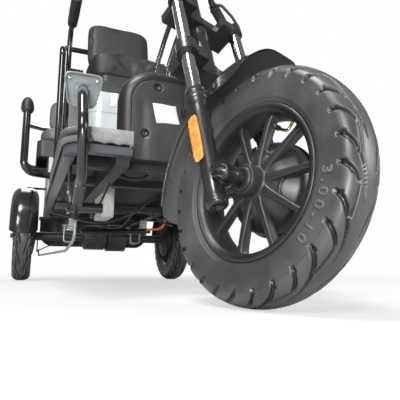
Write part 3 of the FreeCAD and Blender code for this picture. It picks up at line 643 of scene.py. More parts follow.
def addFrontGuard():
    # crowned strip over the wheel; its half angle and width draw in at both ends for round corners
    n, m = 90, 40
    a = np.linspace(0, 1, n)
    s = np.linspace(-1, 1, m)
    run, across = np.meshgrid(a, s, indexing="ij")
    lead = guardForm["lead"] - 7 * np.abs(across) ** 3
    trail = guardForm["trail"] - 6 * np.abs(across) ** 3
    angle = np.radians(lead - run * (lead + trail))
    edge = np.sqrt(np.clip(1 - across ** 2, 0, 1))
    half = 0.0598
    aside = half * np.sign(across) * np.abs(across) ** 0.72
    reach = 0.2205 + 0.0185 * (1 - np.abs(across) ** 3.2)
    outer = onWheel("front", aside, reach, angle)
    inner = onWheel("front", aside * (1 - 0.0022 / half), reach - guardForm["thick"] * (0.35 + 0.65 * edge), angle)
    points = np.concatenate([outer, inner[:, ::-1]], 1)
    piece = addMesh("frontGuard", points.reshape(-1, 3), gridFaces(n, 2 * m, wrapRows=False), looks["guardShell"],
                    "steering")
    # the inner skin is marked to take the pale grey: a painted reflection of the floor
    flag = piece.data.attributes.new("inside", "FLOAT", "POINT")
    flag.data.foreach_set("value", np.tile(np.concatenate([np.zeros(m), np.ones(m)]), n))
    fixNormals(piece)
    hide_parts("front_mudguard")
    for side in (-1, 1):  # side plate that covers the tyre's shoulder, pointed at its lower front
        u = np.linspace(0, 1, 40)
        v = np.linspace(0, 1, 8)
        run, fall = np.meshgrid(u, v, indexing="ij")
        angle = np.radians(-44 + 44 * run)
        drop = 0.028 * np.sin(np.pi * run) ** 0.6 + 0.004
        reach = 0.2235 - fall * drop
        aside = side * (0.0595 + 0.0022 * fall)
        face = onWheel("front", aside + side * 0.001, reach, angle)
        back = onWheel("front", aside - side * 0.0006, reach, angle)
        plate = np.concatenate([face, back[:, ::-1]], 1)
        piece = addGrid("guardSide" + ("Left" if side > 0 else "Right"), plate, "glossPlastic", "steering",
                        "black_gloss_plastic")
        bolt = onWheel("front", np.array([side * 0.061, side * 0.0655]), 0.2095, np.radians(-24))
        points, faces = tubeMesh(np.linspace(bolt[0], bolt[1], 6), [0.0058, 0.0062, 0.006, 0.0056, 0.0046, 0.0024],
                                 18)
        addPiece("guardBolt" + ("Left" if side > 0 else "Right"), points, faces, "darkZinc", "steering", "zinc_steel")


addFrontGuard()
print("front mudguard done")

# padded seats
seatPads = {
    "driverCushion": dict(node="seat_cushion", body="driver_seat", look="leather", shrink=0.006, cap=0.012,
                          square=5.5),
    "driverBack": dict(node="seat_backrest", body="driver_seat", look="leather", shrink=0.006, cap=0.011, square=5.0),
    # the bench pads take the lighter copy of the seat leather, painted light
    "benchCushion": dict(node="bench_cushion", body="chassis", look="litBenchLeather", shrink=0.005, cap=0.012, square=6.5),
    "benchBack": dict(node="bench_backrest", body="chassis", look="litBenchLeather", shrink=0.005, cap=0.01, square=5.5),
}
padTilt = {"seat_backrest": -12.0, "bench_backrest": -8.0}


def padForm(low, high, power, tilt, n=48):
    # a rounded block: a sphere of directions pushed out to a superellipsoid, then leaned back
    centre, half = (low + high) / 2, (high - low) / 2
    u = np.linspace(0, np.pi, n + 1)[1:-1]
    t = np.linspace(0, 2 * np.pi, 2 * n, endpoint=False)
    polar, spin = np.meshgrid(u, t, indexing="ij")
    d = np.stack([np.sin(polar) * np.cos(spin), np.sin(polar) * np.sin(spin), np.cos(polar)], -1)
    scale = (np.abs(d) ** power).sum(-1) ** (-1 / power)
    p = d * scale[..., None] * half
    points = p.reshape(-1, 3)
    points = np.vstack([points, [0, 0, half[2]], [0, 0, -half[2]]])
    faces = [tuple(q[::-1]) for q in gridFaces(len(u), len(t), wrapRows=False)]
    top, bottom, row = len(u) * len(t), len(u) * len(t) + 1, (len(u) - 1) * len(t)
    faces += [(top, k, (k + 1) % len(t)) for k in range(len(t))]
    faces += [(bottom, row + (k + 1) % len(t), row + k) for k in range(len(t))]
    a = math.radians(tilt)
    turn = np.array([[1, 0, 0], [0, math.cos(a), -math.sin(a)], [0, math.sin(a), math.cos(a)]])
    return points @ turn.T + centre, faces


def puff(piece, cap):
    # stuffed by cloth pressure, each point kept within cap of where it started
    bpy.context.view_layer.objects.active = piece
    remesh = piece.modifiers.new("remesh", "REMESH")
    remesh.mode = "VOXEL"
    remesh.voxel_size = 0.007
    bpy.ops.object.modifier_apply(modifier=remesh.name)
    start = np.empty(len(piece.data.vertices) * 3)
    piece.data.vertices.foreach_get("co", start)
    start = start.reshape(-1, 3)
    cloth = piece.modifiers.new("cloth", "CLOTH")
    cloth.settings.use_pressure = True
    cloth.settings.uniform_pressure_force = 4.0
    cloth.settings.effector_weights.gravity = 0.0
    cloth.point_cache.frame_start, cloth.point_cache.frame_end = 1, 20
    scene = bpy.context.scene
    for step in range(1, 21):
        scene.frame_set(step)
    done = piece.evaluated_get(bpy.context.evaluated_depsgraph_get())
    end = np.empty(len(start) * 3)
    done.data.vertices.foreach_get("co", end)
    piece.modifiers.remove(cloth)
    scene.frame_set(1)
    move = end.reshape(-1, 3) - start
    size = np.linalg.norm(move, axis=1)[:, None]
    move *= np.minimum(1, cap / np.maximum(size, 1e-9))
    piece.data.vertices.foreach_set("co", (start + move).ravel())
    piece.data.update()


for name, pad in seatPads.items():
    low, high = (np.array(c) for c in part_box(pad["node"]))
    tilt = padTilt.get(pad["node"], 0.0)
    if tilt:  # the box of a leaned pad gives back its own height and thickness
        a = math.radians(abs(tilt))
        height, depth = high[2] - low[2], high[1] - low[1]
        c, s = math.cos(a), math.sin(a)
        tall = (height * c - depth * s) / (c * c - s * s)
        thick = (depth * c - height * s) / (c * c - s * s)
        middle = (low + high) / 2
        half = np.array([(high[0] - low[0]) / 2, thick / 2, tall / 2])
        low, high = middle - half, middle + half
    shrink = pad["shrink"]
    points, faces = padForm(low + shrink, high - shrink, pad["square"], tilt)
    piece = addMesh(name, points, faces, looks[pad["look"]], None)
    puff(piece, pad["cap"])
    piece.data.polygons.foreach_set("use_smooth", [True] * len(piece.data.polygons))
    finer = piece.modifiers.new("finer", "SUBSURF")
    finer.levels = finer.render_levels = 1
    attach(piece, pad["body"])
    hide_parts(pad["node"])
print("seats done")

# leg shield
def archLine(half, top, corner, bottom, count):
    # left side up, round the corner, across, and down the right side, evenly spaced
    q = np.linspace(np.pi, np.pi / 2, 24)
    left = np.stack([-half + corner + corner * np.cos(q), top - corner + corner * np.sin(q)], 1)
    line = np.vstack([[-half, bottom], left, left[::-1] * [-1, 1], [half, bottom]])
    run = np.concatenate([[0], np.cumsum(np.linalg.norm(np.diff(line, axis=0), axis=1))])
    s = np.linspace(0, run[-1], count)
    return np.stack([np.interp(s, run, line[:, 0]), np.interp(s, run, line[:, 1])], 1)


shieldForm = {"front": -0.5035, "back": -0.4735, "bolts": [(-0.075, 0.499), (0.075, 0.499), (-0.106, 0.38),
                                                           (0.106, 0.38)],
              "dimple": 0.0115}


def addShield():
    # flat-faced dome: rows run from the middle of the face to its edge, then roll back a quarter turn to the rim
    count, low = 200, 40
    outer = archLine(0.1675, 0.545, 0.084, 0.3575, count)
    inner = archLine(0.139, 0.516, 0.058, 0.3575, count)
    foot = archLine(0.139, 0.3575 + 0.042, 0.012, 0.3575, low + 2)[1:-1]
    foot = np.stack([-foot[:, 0], 0.3575 * 2 - foot[:, 1]], 1)
    innerAll = np.vstack([inner, foot])
    middle = np.array([0.0, 0.425])
    k = np.linspace(0, 1, 90)[1:] ** 0.9
    face = middle + (innerAll[:, None] - middle) * k[None, :, None]
    y = shieldForm["front"] - 0.0035 * (1 - k ** 2)[None] + 0 * face[..., 0]
    for bx, bz in shieldForm["bolts"]:
        d = np.hypot(face[..., 0] - bx, face[..., 1] - bz) / shieldForm["dimple"]
        y = y + 0.0085 / (1 + np.exp((d - 0.8) * 16))
    y = y + 0.0022 * np.exp(-((np.abs(face[..., 0]) - 0.112) / 0.012) ** 2) * np.clip((0.47 - face[..., 1]) / 0.03, 0,
                                                                                      1)
    points = np.stack([face[..., 0], y, face[..., 1]], -1)
    n = len(innerAll)
    centre = np.array([[0, shieldForm["front"] - 0.0035, 0.425]])
    flat = points.reshape(-1, 3)
    quads = gridFaces(n, len(k), wrapColumns=False)
    fan = [(len(flat), i * len(k), ((i + 1) % n) * len(k)) for i in range(n)]
    sheet = addPiece("shieldFace", np.vstack([flat, centre]), [tuple(q) for q in quads] + fan, "charcoal", "chassis",
                     "charcoal_plastic")
    thick = sheet.modifiers.new("thickness", "SOLIDIFY")
    thick.thickness, thick.offset = 0.003, -1
    q = np.linspace(0, 1, 16)[None, :, None] * np.pi / 2
    roll = inner[:, None] + (outer - inner)[:, None] * np.sin(q)
    depth = shieldForm["front"] + 0.0305 * (1 - np.cos(q[..., 0])) + 0 * roll[..., 0]
    skin = np.stack([roll[..., 0], depth, roll[..., 1]], -1)
    lipLine = np.stack([outer[:, 0], np.full(count, -0.4718), outer[:, 1]], 1)
    back = skin[:, ::-1] * [0.975, 1, 1] + np.array([0, 0.0035, -0.002])
    loop = np.concatenate([skin, back], 1)
    parts = [(loop.reshape(-1, 3), gridFaces(count, loop.shape[1], wrapRows=False)),
             tubeMesh(lipLine * [0.965, 1, 1] - [0, 0, 0.0055], 0.0066, 14)]
    points, faces = joinMeshes(parts)
    addPiece("shieldRim", points, faces, "satinBlack", "chassis", "black_gloss_plastic")
    for i, (bx, bz) in enumerate(shieldForm["bolts"]):
        head = latheMesh([(0.001, 0), (0.001, 0.0028), (0.0028, 0.0036), (0.0028, 0.0056), (0.0022, 0.0064),
                          (-0.002, 0.0066),
                          (-0.002, 0)], (bx, -0.4975, bz), (0, -1, 0), 24, False)
        addPiece("shieldBolt%d" % (i + 1), *head, "darkZinc", "chassis", "zinc_steel")
    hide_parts("leg_shield")


addShield()

def sheetPoints(corners, rows, columns):
    # corners a b c d: a(1-u)(1-v) + b u(1-v) + c u v + d (1-u) v
    u, v = np.meshgrid(np.linspace(0, 1, rows), np.linspace(0, 1, columns), indexing="ij")
    a, b, c, d = corners[:, None, None]
    u2, v2 = u[..., None], v[..., None]
    return a * ((1 - u2) * (1 - v2)) + b * (u2 * (1 - v2)) + c * (u2 * v2) + d * ((1 - u2) * v2), u, v


# blank label on the shield, its corners lifted a little
labelCorners = np.array([(-0.0911, -0.503, 0.4549), (-0.0325, -0.503, 0.4561), (-0.0215, -0.503, 0.4114),
                         (-0.08, -0.503, 0.406)])
sheet, u, v = sheetPoints(labelCorners, 18, 14)
sheet[..., 1] = -0.5078 - 0.0018 * np.abs(2 * u - 1) ** 4 * np.abs(2 * v - 1) ** 3
sheet[..., 2] += 0.0012 * np.sin(u * 5)
label = addMesh("blankLabel", sheet.reshape(-1, 3), gridFaces(18, 14, False, False), looks["labelPaper"], "chassis")
thick = label.modifiers.new("thickness", "SOLIDIFY")
thick.thickness, thick.offset = 0.0004, 0
print("leg shield done")

# footboard edge
def edgeLine(side, start, stop, count):
    # walks the floor's edge from the notch out to the corner and back along the side: points and outward directions
    q = np.linspace(0, np.pi / 2, 24)
    corner = np.stack([0.235 + 0.055 * np.sin(q), -0.518 - 0.055 * np.cos(q)], 1)
    line = np.vstack([[0.1505, -0.573], corner, [0.29, 0.455]])
    out = np.vstack([[0, -1], np.stack([np.sin(q), -np.cos(q)], 1), [1, 0]])
    run = np.concatenate([[0], np.cumsum(np.linalg.norm(np.diff(line, axis=0), axis=1))])
    s = np.linspace(start, stop, count)
    flip = np.array([side, 1])
    return (np.stack([np.interp(s, run, line[:, j]) for j in (0, 1)], 1) * flip,
            np.stack([np.interp(s, run, out[:, j]) for j in (0, 1)], 1) * flip, s)


def addEdgeStrip(name, side, start, stop, profile, material, count=90, marks=None):
    # closed profile of (out, height) pairs, given for each place along the edge, joined into a strip
    line, out, s = edgeLine(side, start, stop, count)
    form = profile((s - start) / (stop - start))
    points = np.concatenate([line[:, None] + out[:, None] * form[..., :1], form[..., 1:]], -1)
    piece = addMesh(name, points.reshape(-1, 3), gridFaces(count, form.shape[1], wrapRows=False), material, "chassis")
    if marks is not None:
        piece.data.attributes.new("inside", "FLOAT", "POINT").data.foreach_set("value", np.tile(marks, count))
    fixNormals(piece)


def matForm(w):
    low = 0.3215 + 0.0035 * np.abs(np.sin(w * 9.4)) + 0.02 * np.clip((w - 0.86) / 0.14, 0, 1) ** 2
    rows = []
    for out, high in ((0.0002, 1.0), (0.0035, 1.0), (0.0062, 0.93), (0.0068, 0.6), (0.0066, 0.25), (0.0056, 0.06),
                      (0.003, 0.0), (0.0002, 0.03)):
        rows.append(np.stack([np.full_like(w, out), low + (0.3562 - low) * high], 1))
    return np.stack(rows, 1)


def bandForm(w):
    # upper soft lip, groove, then a rounded lower lip; the groove and underside are painted dark as shade
    shape = [(0.0002, 0.356), (0.004, 0.356), (0.0075, 0.353), (0.0082, 0.347), (0.0068, 0.3425), (0.0022, 0.3405),
             (0.0022, 0.3385), (0.0062, 0.3368), (0.0085, 0.332), (0.0088, 0.326), (0.0068, 0.3222), (0.003, 0.3214),
             (0.0002, 0.3214)]
    return np.stack([np.stack([np.full_like(w, o), np.full_like(w, z)], 1) for o, z in shape], 1)


for side, name in ((-1, "Right"), (1, "Left")):
    # front face strip in pale grey: painted light
    addEdgeStrip("floorMat" + name, side, 0.0, 0.092, matForm, looks["litFaceGrey"])
    # the marks paint the band's groove and underside near black: painted shade
    addEdgeStrip("floorBand" + name, side, 0.088, 0.62, bandForm, looks["edgeBand"], 160,
                 np.array([0, 0, 0, 0.2, 0.9, 1, 1, 0.6, 0, 0, 0.3, 1, 1.0]))
print("floor edge done")

# foot pedal
pedal = {"centre": (-0.25, -0.462, 0.479), "tilt": 24}
pedalUp = np.array([0, -math.sin(math.radians(pedal["tilt"])), math.cos(math.radians(pedal["tilt"]))])
pedalOut = np.array([0, -math.cos(math.radians(pedal["tilt"])), -math.sin(math.radians(pedal["tilt"]))])


def onPedal(x, z, out):
    x, z, out = np.broadcast_arrays(np.asarray(x, float), z, out)
    return (np.array(pedal["centre"]) + x[..., None] * np.array([1.0, 0, 0]) + z[..., None] * pedalUp
            + out[..., None] * pedalOut)


def addPedalPlate():
    # pan pressed from sheet: rows run from the middle out to a folded rim, then back underneath
    q = np.linspace(0, 2 * np.pi, 120, endpoint=False)
    ring = roundSquare(q, 5.5)
    z = 0.0405 * ring * np.sin(q)
    x = (0.0402 + 0.0079 * z / 0.0405) * ring * np.cos(q)
    rows = [(0.05, 0.0012), (0.5, 0.0012), (0.8, 0.0012), (0.84, 0.0014), (0.87, 0.0036), (0.9, 0.0052),
            (0.94, 0.0062),
            (0.975, 0.0056), (0.99, 0.0038), (1.0, 0.0015), (0.995, -0.001), (0.97, -0.0022), (0.8, -0.003),
            (0.05, -0.003)]
    k = np.array([r[0] for r in rows])
    out = np.array([r[1] for r in rows])
    points = onPedal(x[:, None] * k, z[:, None] * k, out[None] + 0.0026 + 0 * x[:, None])
    plate = addGrid("pedalPlate", points, "zincPlate", "chassis", "zinc_steel", wrapRows=True)
    for i, (sx, sz) in enumerate(((-0.0315, 0.0245), (0.0315, 0.0245))):
        head = latheMesh([(0.0008, 0), (0.0034, 0), (0.0038, 0.0012), (0.0036, 0.0036), (0.0026, 0.0048),
                          (0.0008, 0.005)],
                         onPedal(sx, sz, 0.0026), pedalOut, 24, True)
        addPiece("pedalScrew%d" % (i + 1), *head, "chromeBright", "chassis", "chrome")
    boss = latheMesh([(0.0008, 0), (0.007, 0), (0.007, 0.0118), (0.0085, 0.0124), (0.0085, 0.0138), (0.006, 0.0142),
                      (0.0055, 0.0168), (0.0038, 0.0185), (0.0008, 0.0185)], onPedal(-0.0005, -0.004, 0.0), pedalOut,
                      36, True)
    addPiece("pedalBoss", *boss, "zincPlate", "chassis", "zinc_steel")


addPedalPlate()
print("pedal done")

# rear mudguards
for which, name in (("right", "Right"), ("left", "Left")):
    # domed strip over the wheel, closed with its own inner skin; ends drawn in for round corners
    n, m = 110, 44
    a, s = np.meshgrid(np.linspace(0, 1, n), np.linspace(-1, 1, m), indexing="ij")
    angle = np.radians(90.5 - 4.5 * np.abs(s) ** 5 - a * (174 - 8 * np.abs(s) ** 5))
    aside = 0.0588 * np.sign(s) * np.abs(s) ** 0.85
    reach = 0.186 + 0.0415 * np.clip(1 - np.abs(s) ** 3.4, 0, 1) ** 0.8
    lip = 0.0012 * np.exp(-a * 60)
    outer = onWheel(which, aside, reach + lip, angle)
    inner = onWheel(which, aside * 0.965, reach - 0.0026, angle)
    shell = np.concatenate([outer, inner[:, ::-1]], 1)
    guard = addGrid("rearGuard" + name, shell, "glossPlastic", "chassis", "black_gloss_plastic")
    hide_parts("rear_mudguard_" + which)
    for i, x in enumerate((-0.0265, 0.0265)):
        spot = onWheel(which, x, 0.2245, np.radians(70))
        way = spot - wheels[which][0]
        way = way - np.array([way[0], 0, 0])
        rivet = latheMesh([(0.0, 0), (0.003, 0), (0.0026, 0.0022), (0.0012, 0.0036), (-0.0005, 0.004), (-0.0005, 0)],
                          spot, way,
                          20, False)
        addPiece("guardRivet%s%d" % (name, i + 1), *rivet, "darkZinc", "chassis", "zinc_steel")
    side = -1 if which == "right" else 1
    arm = np.array([(side * 0.37, 0.737, 0.4385), (side * 0.335, 0.737, 0.4395), (side * 0.3, 0.737, 0.4395),
                    (side * 0.2855, 0.737, 0.4395)])
    points, faces = tubeMesh(arm, 0.0055, 14)
    addPiece("guardArm" + name, points, faces, "blackGloss", "chassis", "black_steel")

# armrest knobs, grips, pads
for side, name in ((-1, "Right"), (1, "Left")):
    egg = latheMesh([(-0.0045, 0.0152), (-0.0045, 0.0195), (0, 0.0222), (0.008, 0.0254), (0.018, 0.0258),
                     (0.03, 0.0248),
                     (0.042, 0.0218), (0.052, 0.0168), (0.059, 0.0096), (0.0622, 0.0)], (side * 0.385, 0.4, 0.709),
                     (0, 0, 1),
                    56, False)
    knob = addPiece("armKnob" + name, *egg, "softRubber", "chassis", "soft_rubber")
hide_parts("armrest_knobs")
print("rear guards and knobs done")

# box under the driver's seat
def boxBand(name, low, high, out, material):
    # belt round the box: rounded rectangle carried as a thin closed profile
    q = np.linspace(0, np.pi / 2, 16)
    corner = 0.045
    hx, hy, cy = 0.171, 0.185, 0.235
    arcs = []
    for sx, sy, turn in ((1, 1, 0), (-1, 1, 1), (-1, -1, 2), (1, -1, 3)):
        a = q + turn * np.pi / 2
        arcs.append(np.stack([sx * (hx - corner) + corner * np.cos(a), cy + sy * (hy - corner) + corner * np.sin(a),
                              np.cos(a), np.sin(a)], 1))
    line = np.vstack(arcs)
    rise = high - low
    form = [(0.0002, 0), (out * 0.6, 0), (out, 0.0012 / rise), (out, 1 - 0.0012 / rise), (out * 0.6, 1), (0.0002, 1)]
    points = np.stack([np.concatenate([line[:, :2] + line[:, 2:] * o, np.full((len(line), 1), low + rise * h)], 1)
                       for o, h in form], 1)
    piece = addMesh(name, points.reshape(-1, 3), gridFaces(len(line), len(form)), material, "chassis")
    return fixNormals(piece)


boxBand("boxUpperSkin", 0.622, 0.7005, 0.0016, looks["silverPaint"])
boxBand("boxLidBand", 0.7015, 0.7245, 0.003, looks["charcoal"])
patch = np.array([(-0.0984, 0.049, 0.6991), (-0.0744, 0.049, 0.7015), (-0.0743, 0.049, 0.647),
                  (-0.0978, 0.049, 0.645)])
tag = sheetPoints(patch, 6, 8)[0]
tag[..., 1] = 0.0478
piece = addMesh("blankTag", tag.reshape(-1, 3), gridFaces(6, 8, False, False), looks["labelPaper"], "chassis")
thick = piece.modifiers.new("thickness", "SOLIDIFY")
thick.thickness, thick.offset = 0.0005, 0

# under the floor
def addTube(name, points, radius, look, slotName, body="chassis", count=48, sides=12):
    mesh = tubeMesh(smoothPath(np.array(points, float), count), radius, sides)
    return addPiece(name, *mesh, look, body, slotName)


# converter: finned block, its front wavy across its width
u = np.linspace(0, 1, 60)
wave = 0.0016 * np.sign(np.sin(u * np.pi * 12)) * np.abs(np.sin(u * np.pi * 12)) ** 0.4
front = np.stack([-0.1494 + 0.0391 * u, -0.1592 - wave], 1)
ring = np.vstack([front, [(-0.11, -0.156), (-0.11, -0.024), (-0.1115, -0.0203), (-0.148, -0.0203), (-0.1495, -0.024),
                          (-0.1495, -0.156)]])
heights = np.array([0.2152, 0.2165, 0.225, 0.32, 0.3285, 0.3298])
shrink = np.array([0.93, 0.985, 1.0, 1.0, 0.985, 0.93])
mid = np.array([-0.12975, -0.09])
block = np.stack([np.concatenate([mid + (ring - mid) * k, np.full((len(ring), 1), h)], 1) for k,
                  h in zip(shrink, heights)], 0)
flat = block.reshape(-1, 3)
faces = [tuple(q) for q in gridFaces(len(heights), len(ring), wrapRows=False)]
faces += [tuple(range(len(ring)))[::-1], tuple(range(len(flat) - len(ring), len(flat)))]
piece = addMesh("converterBlock", flat, faces, looks["ribbedAlloy"], "chassis", smooth=False)
fixNormals(piece)
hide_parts("converter")

underCables = {
    "beltLoop": ("softRubber", "soft_rubber", 0.0055,
                 [(-0.143, -0.4, 0.3191), (-0.133, -0.4, 0.3253), (-0.107, -0.4, 0.3238), (-0.0804, -0.4, 0.3171),
                  (-0.0695, -0.4, 0.3074), (-0.0771, -0.4, 0.2935), (-0.0981, -0.4, 0.2878), (-0.1241, -0.4, 0.2882),
                  (-0.1397, -0.4, 0.296)]),
    "hookedRod": ("darkZinc", "zinc_steel", 0.0028,
                  [(-0.1473, -0.33, 0.3066), (-0.153, -0.335, 0.2942), (-0.1737, -0.345, 0.2428),
                   (-0.1966, -0.35, 0.1939), (-0.2027, -0.35, 0.191), (-0.2016, -0.35, 0.2)]),
    "cableLeft": ("softRubber", "soft_rubber", 0.0026,
                  [(-0.0294, -0.15, 0.2395), (-0.0513, -0.15, 0.2257), (-0.0631, -0.12, 0.206),
                   (-0.0801, -0.08, 0.1895), (-0.1255, 0.0, 0.1976)]),
    "cableMiddle": ("softRubber", "soft_rubber", 0.003,
                    [(-0.0294, -0.15, 0.2395), (-0.0617, -0.14, 0.2231), (-0.1164, -0.1, 0.2055),
                     (-0.1733, -0.06, 0.2068), (-0.2373, 0.0, 0.2295), (-0.2901, 0.1, 0.2517)]),
    "cableRight": ("softRubber", "soft_rubber", 0.003,
                   [(-0.0294, -0.15, 0.2395), (0.0027, -0.14, 0.2327), (0.0422, -0.12, 0.2205),
                    (0.0761, -0.1, 0.2073), (0.1105, -0.06, 0.2054)]),
    "cableUp": ("softRubber", "soft_rubber", 0.0026,
                [(-0.0294, -0.15, 0.2395), (-0.0073, -0.15, 0.2632), (0.0216, -0.14, 0.2793),
                 (0.0578, -0.12, 0.2946)]),
    "cableTie": ("darkZinc", "zinc_steel", 0.0045, [(-0.0379, -0.152, 0.242), (-0.0298, -0.152, 0.2392),
                                                    (-0.0217, -0.152, 0.2365)]),
    "orangeConduit": ("orangeTube", "soft_rubber", 0.005,
                      [(0.1002, 0.25, 0.2149), (0.1257, 0.25, 0.2179), (0.1601, 0.25, 0.2234), (0.1772, 0.25, 0.243),
                       (0.1813, 0.25, 0.2601), (0.1989, 0.25, 0.2673)]),
    "orangePlugA": ("orangeTube", "orange_lens", 0.005,
                    [(-0.2599, 0.12, 0.303), (-0.2565, 0.12, 0.3025), (-0.2524, 0.12, 0.3021)]),
    "orangePlugB": ("orangeTube", "orange_lens", 0.005,
                    [(-0.0969, -0.06, 0.2886), (-0.0942, -0.06, 0.2881), (-0.0909, -0.06, 0.2877)]),
    "looseWireA": ("darkZinc", "zinc_steel", 0.0022,
                   [(-0.2554, -0.1, 0.3081), (-0.2426, -0.1, 0.2902), (-0.2476, -0.1, 0.271),
                    (-0.2311, -0.09, 0.2578), (-0.2352, -0.08, 0.2368), (-0.2172, -0.06, 0.2177)]),
    "looseWireB": ("darkZinc", "zinc_steel", 0.0022,
                   [(-0.2662, 0.0, 0.3011), (-0.2528, 0.0, 0.2853), (-0.2342, 0.0, 0.2932), (-0.2208, 0.0, 0.2806),
                    (-0.226, 0.0, 0.2568)]),
    "looseWireC": ("softRubber", "soft_rubber", 0.0035,
                   [(-0.248, -0.2, 0.3355), (-0.2365, -0.18, 0.3106), (-0.2381, -0.15, 0.2856),
                    (-0.2251, -0.12, 0.2572), (-0.2275, -0.1, 0.2255)]),
    "brakeSideRod": ("darkZinc", "zinc_steel", 0.0025,
                     [(-0.3115, 0.64, 0.1311), (-0.2991, 0.64, 0.1382), (-0.2376, 0.6, 0.1676),
                      (-0.2155, 0.56, 0.191)]),
    "crossBar": ("glossPlastic", "black_steel", 0.011,
                 [(-0.1435, 0.43, 0.2112), (-0.0153, 0.43, 0.2156), (0.1665, 0.43, 0.2266)]),
}
for name, (look, slotName, radius, line) in underCables.items():
    addTube(name, line, radius, look, slotName)
print("under floor done")

# rear axle group
u = np.linspace(-0.0955, 0.0195, 116)
fins = 0.0575 + 0.004 * (np.sin(u * 2 * np.pi / 0.0105) > 0) * (np.abs(u + 0.038) < 0.046)
ends = np.clip(np.minimum(u + 0.0975, 0.0215 - u) / 0.006, 0.5, 1)
profile = np.vstack([[(u[0], 0.0205)], np.stack([u, fins * ends], 1), [(u[-1], 0.0205)]])
motorMesh = latheMesh(profile, (0, 0.737, 0.208), (1, 0, 0), 72, True)
addPiece("motorFins", *motorMesh, "brownCast", "chassis", "cast_alloy")
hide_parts("motor")
for side, name in ((-1, "Right"), (1, "Left")):
    for i, y in enumerate((0.717, 0.757)):
        x = side * 0.165
        hook = [(x - 0.0235, y, 0.262), (x - 0.0235, y, 0.2), (x - 0.02, y, 0.1885), (x, y, 0.1835),
                (x + 0.02, y, 0.1885),
                (x + 0.0235, y, 0.2), (x + 0.0235, y, 0.262)]
        addTube("uBolt%s%d" % (name, i + 1), hook, 0.0042, "zincSteel", "zinc_steel", count=60)

# front brake fittings, conduits behind the shield
for i, (x, y) in enumerate(((-0.039, -0.447), (-0.008, -0.443))):
    addTube("conduit%d" % (i + 1), [(x - 0.03, y, 0.44), (x - 0.028, y + 0.004, 0.56), (x - 0.016, y - 0.012, 0.63),
                                    (x - 0.006, y - 0.055, 0.68), (x * 0.6, -0.528, 0.7)],
            0.0062 + 0.0003 * np.sin(np.arange(160) * 1.1), "glossPlastic", "soft_rubber", count=160, sides=16)
lampShape = latheMesh([(0.0, 0.052), (0.01, 0.053), (0.016, 0.05), (0.018, 0.046), (0.0155, 0.0445), (0.0, 0.0)],
                      onFork(0.7, 0.124, 0.0), turned(steerPoint + np.array([[0, -1.0, -0.12]]))[0] - steerPoint,
                      64, False)
addPiece("headlightRing", *lampShape, "clearLens", "steering", "chrome")
print("axle and front fittings done")

# grips, mirror glass, armrest pads, lamp lenses
barCentre = np.array([0, -0.4187, 0.957])


def onBar(side, s, r, turn):
    # s metres in from the bar's outer end towards its middle, r out from the bar's line
    outer = barCentre + np.array([side * 0.345, 0.19, 0.022])
    way = barCentre + np.array([side * 0.228, 0.138, 0.04]) - outer
    way /= np.linalg.norm(way)
    wide = np.cross(way, [0, 0, 1.0])
    wide /= np.linalg.norm(wide)
    tall = np.cross(wide, way)
    s, r, turn = np.broadcast_arrays(np.asarray(s, float), r, turn)
    spot = outer + s[..., None] * way + r[..., None] * (np.cos(turn)[..., None] * wide + np.sin(turn)[...,
                                                                                                      None] * tall)
    return turned(spot.reshape(-1, 3)).reshape(spot.shape)


def domeFace(centre, wide, tall, out, halfWide, halfTall, power, crown, rib=0.0, name="", look=None, body="chassis",
             slotName="chrome"):
    # rounded-rectangle face, superellipse rings from the middle to the rim, raised by crown * (1 - k^2), closed behind
    q = np.linspace(0, 2 * np.pi, 96, endpoint=False)
    ring = roundSquare(q, power)
    k = np.concatenate([np.linspace(0.02, 1, 24), [0.985, 0.02]])
    rise = np.concatenate([crown * (1 - np.linspace(0.02, 1, 24) ** 2), [-0.0012, -0.0012]])
    x = halfWide * (ring * np.cos(q))[:, None] * k
    z = halfTall * (ring * np.sin(q))[:, None] * k
    rise = rise[None] + rib * np.cos(x / halfWide * 40) * (rise[None] > 0)
    points = np.asarray(centre) + x[..., None] * np.asarray(wide) + z[..., None] * np.asarray(tall) \
        + rise[..., None] * np.asarray(out)
    points = points.reshape(-1, 3)
    if body == "steering":
        points = turned(points)
    addPiece(name, points, gridFaces(96, len(k), True, True), look, body, slotName)


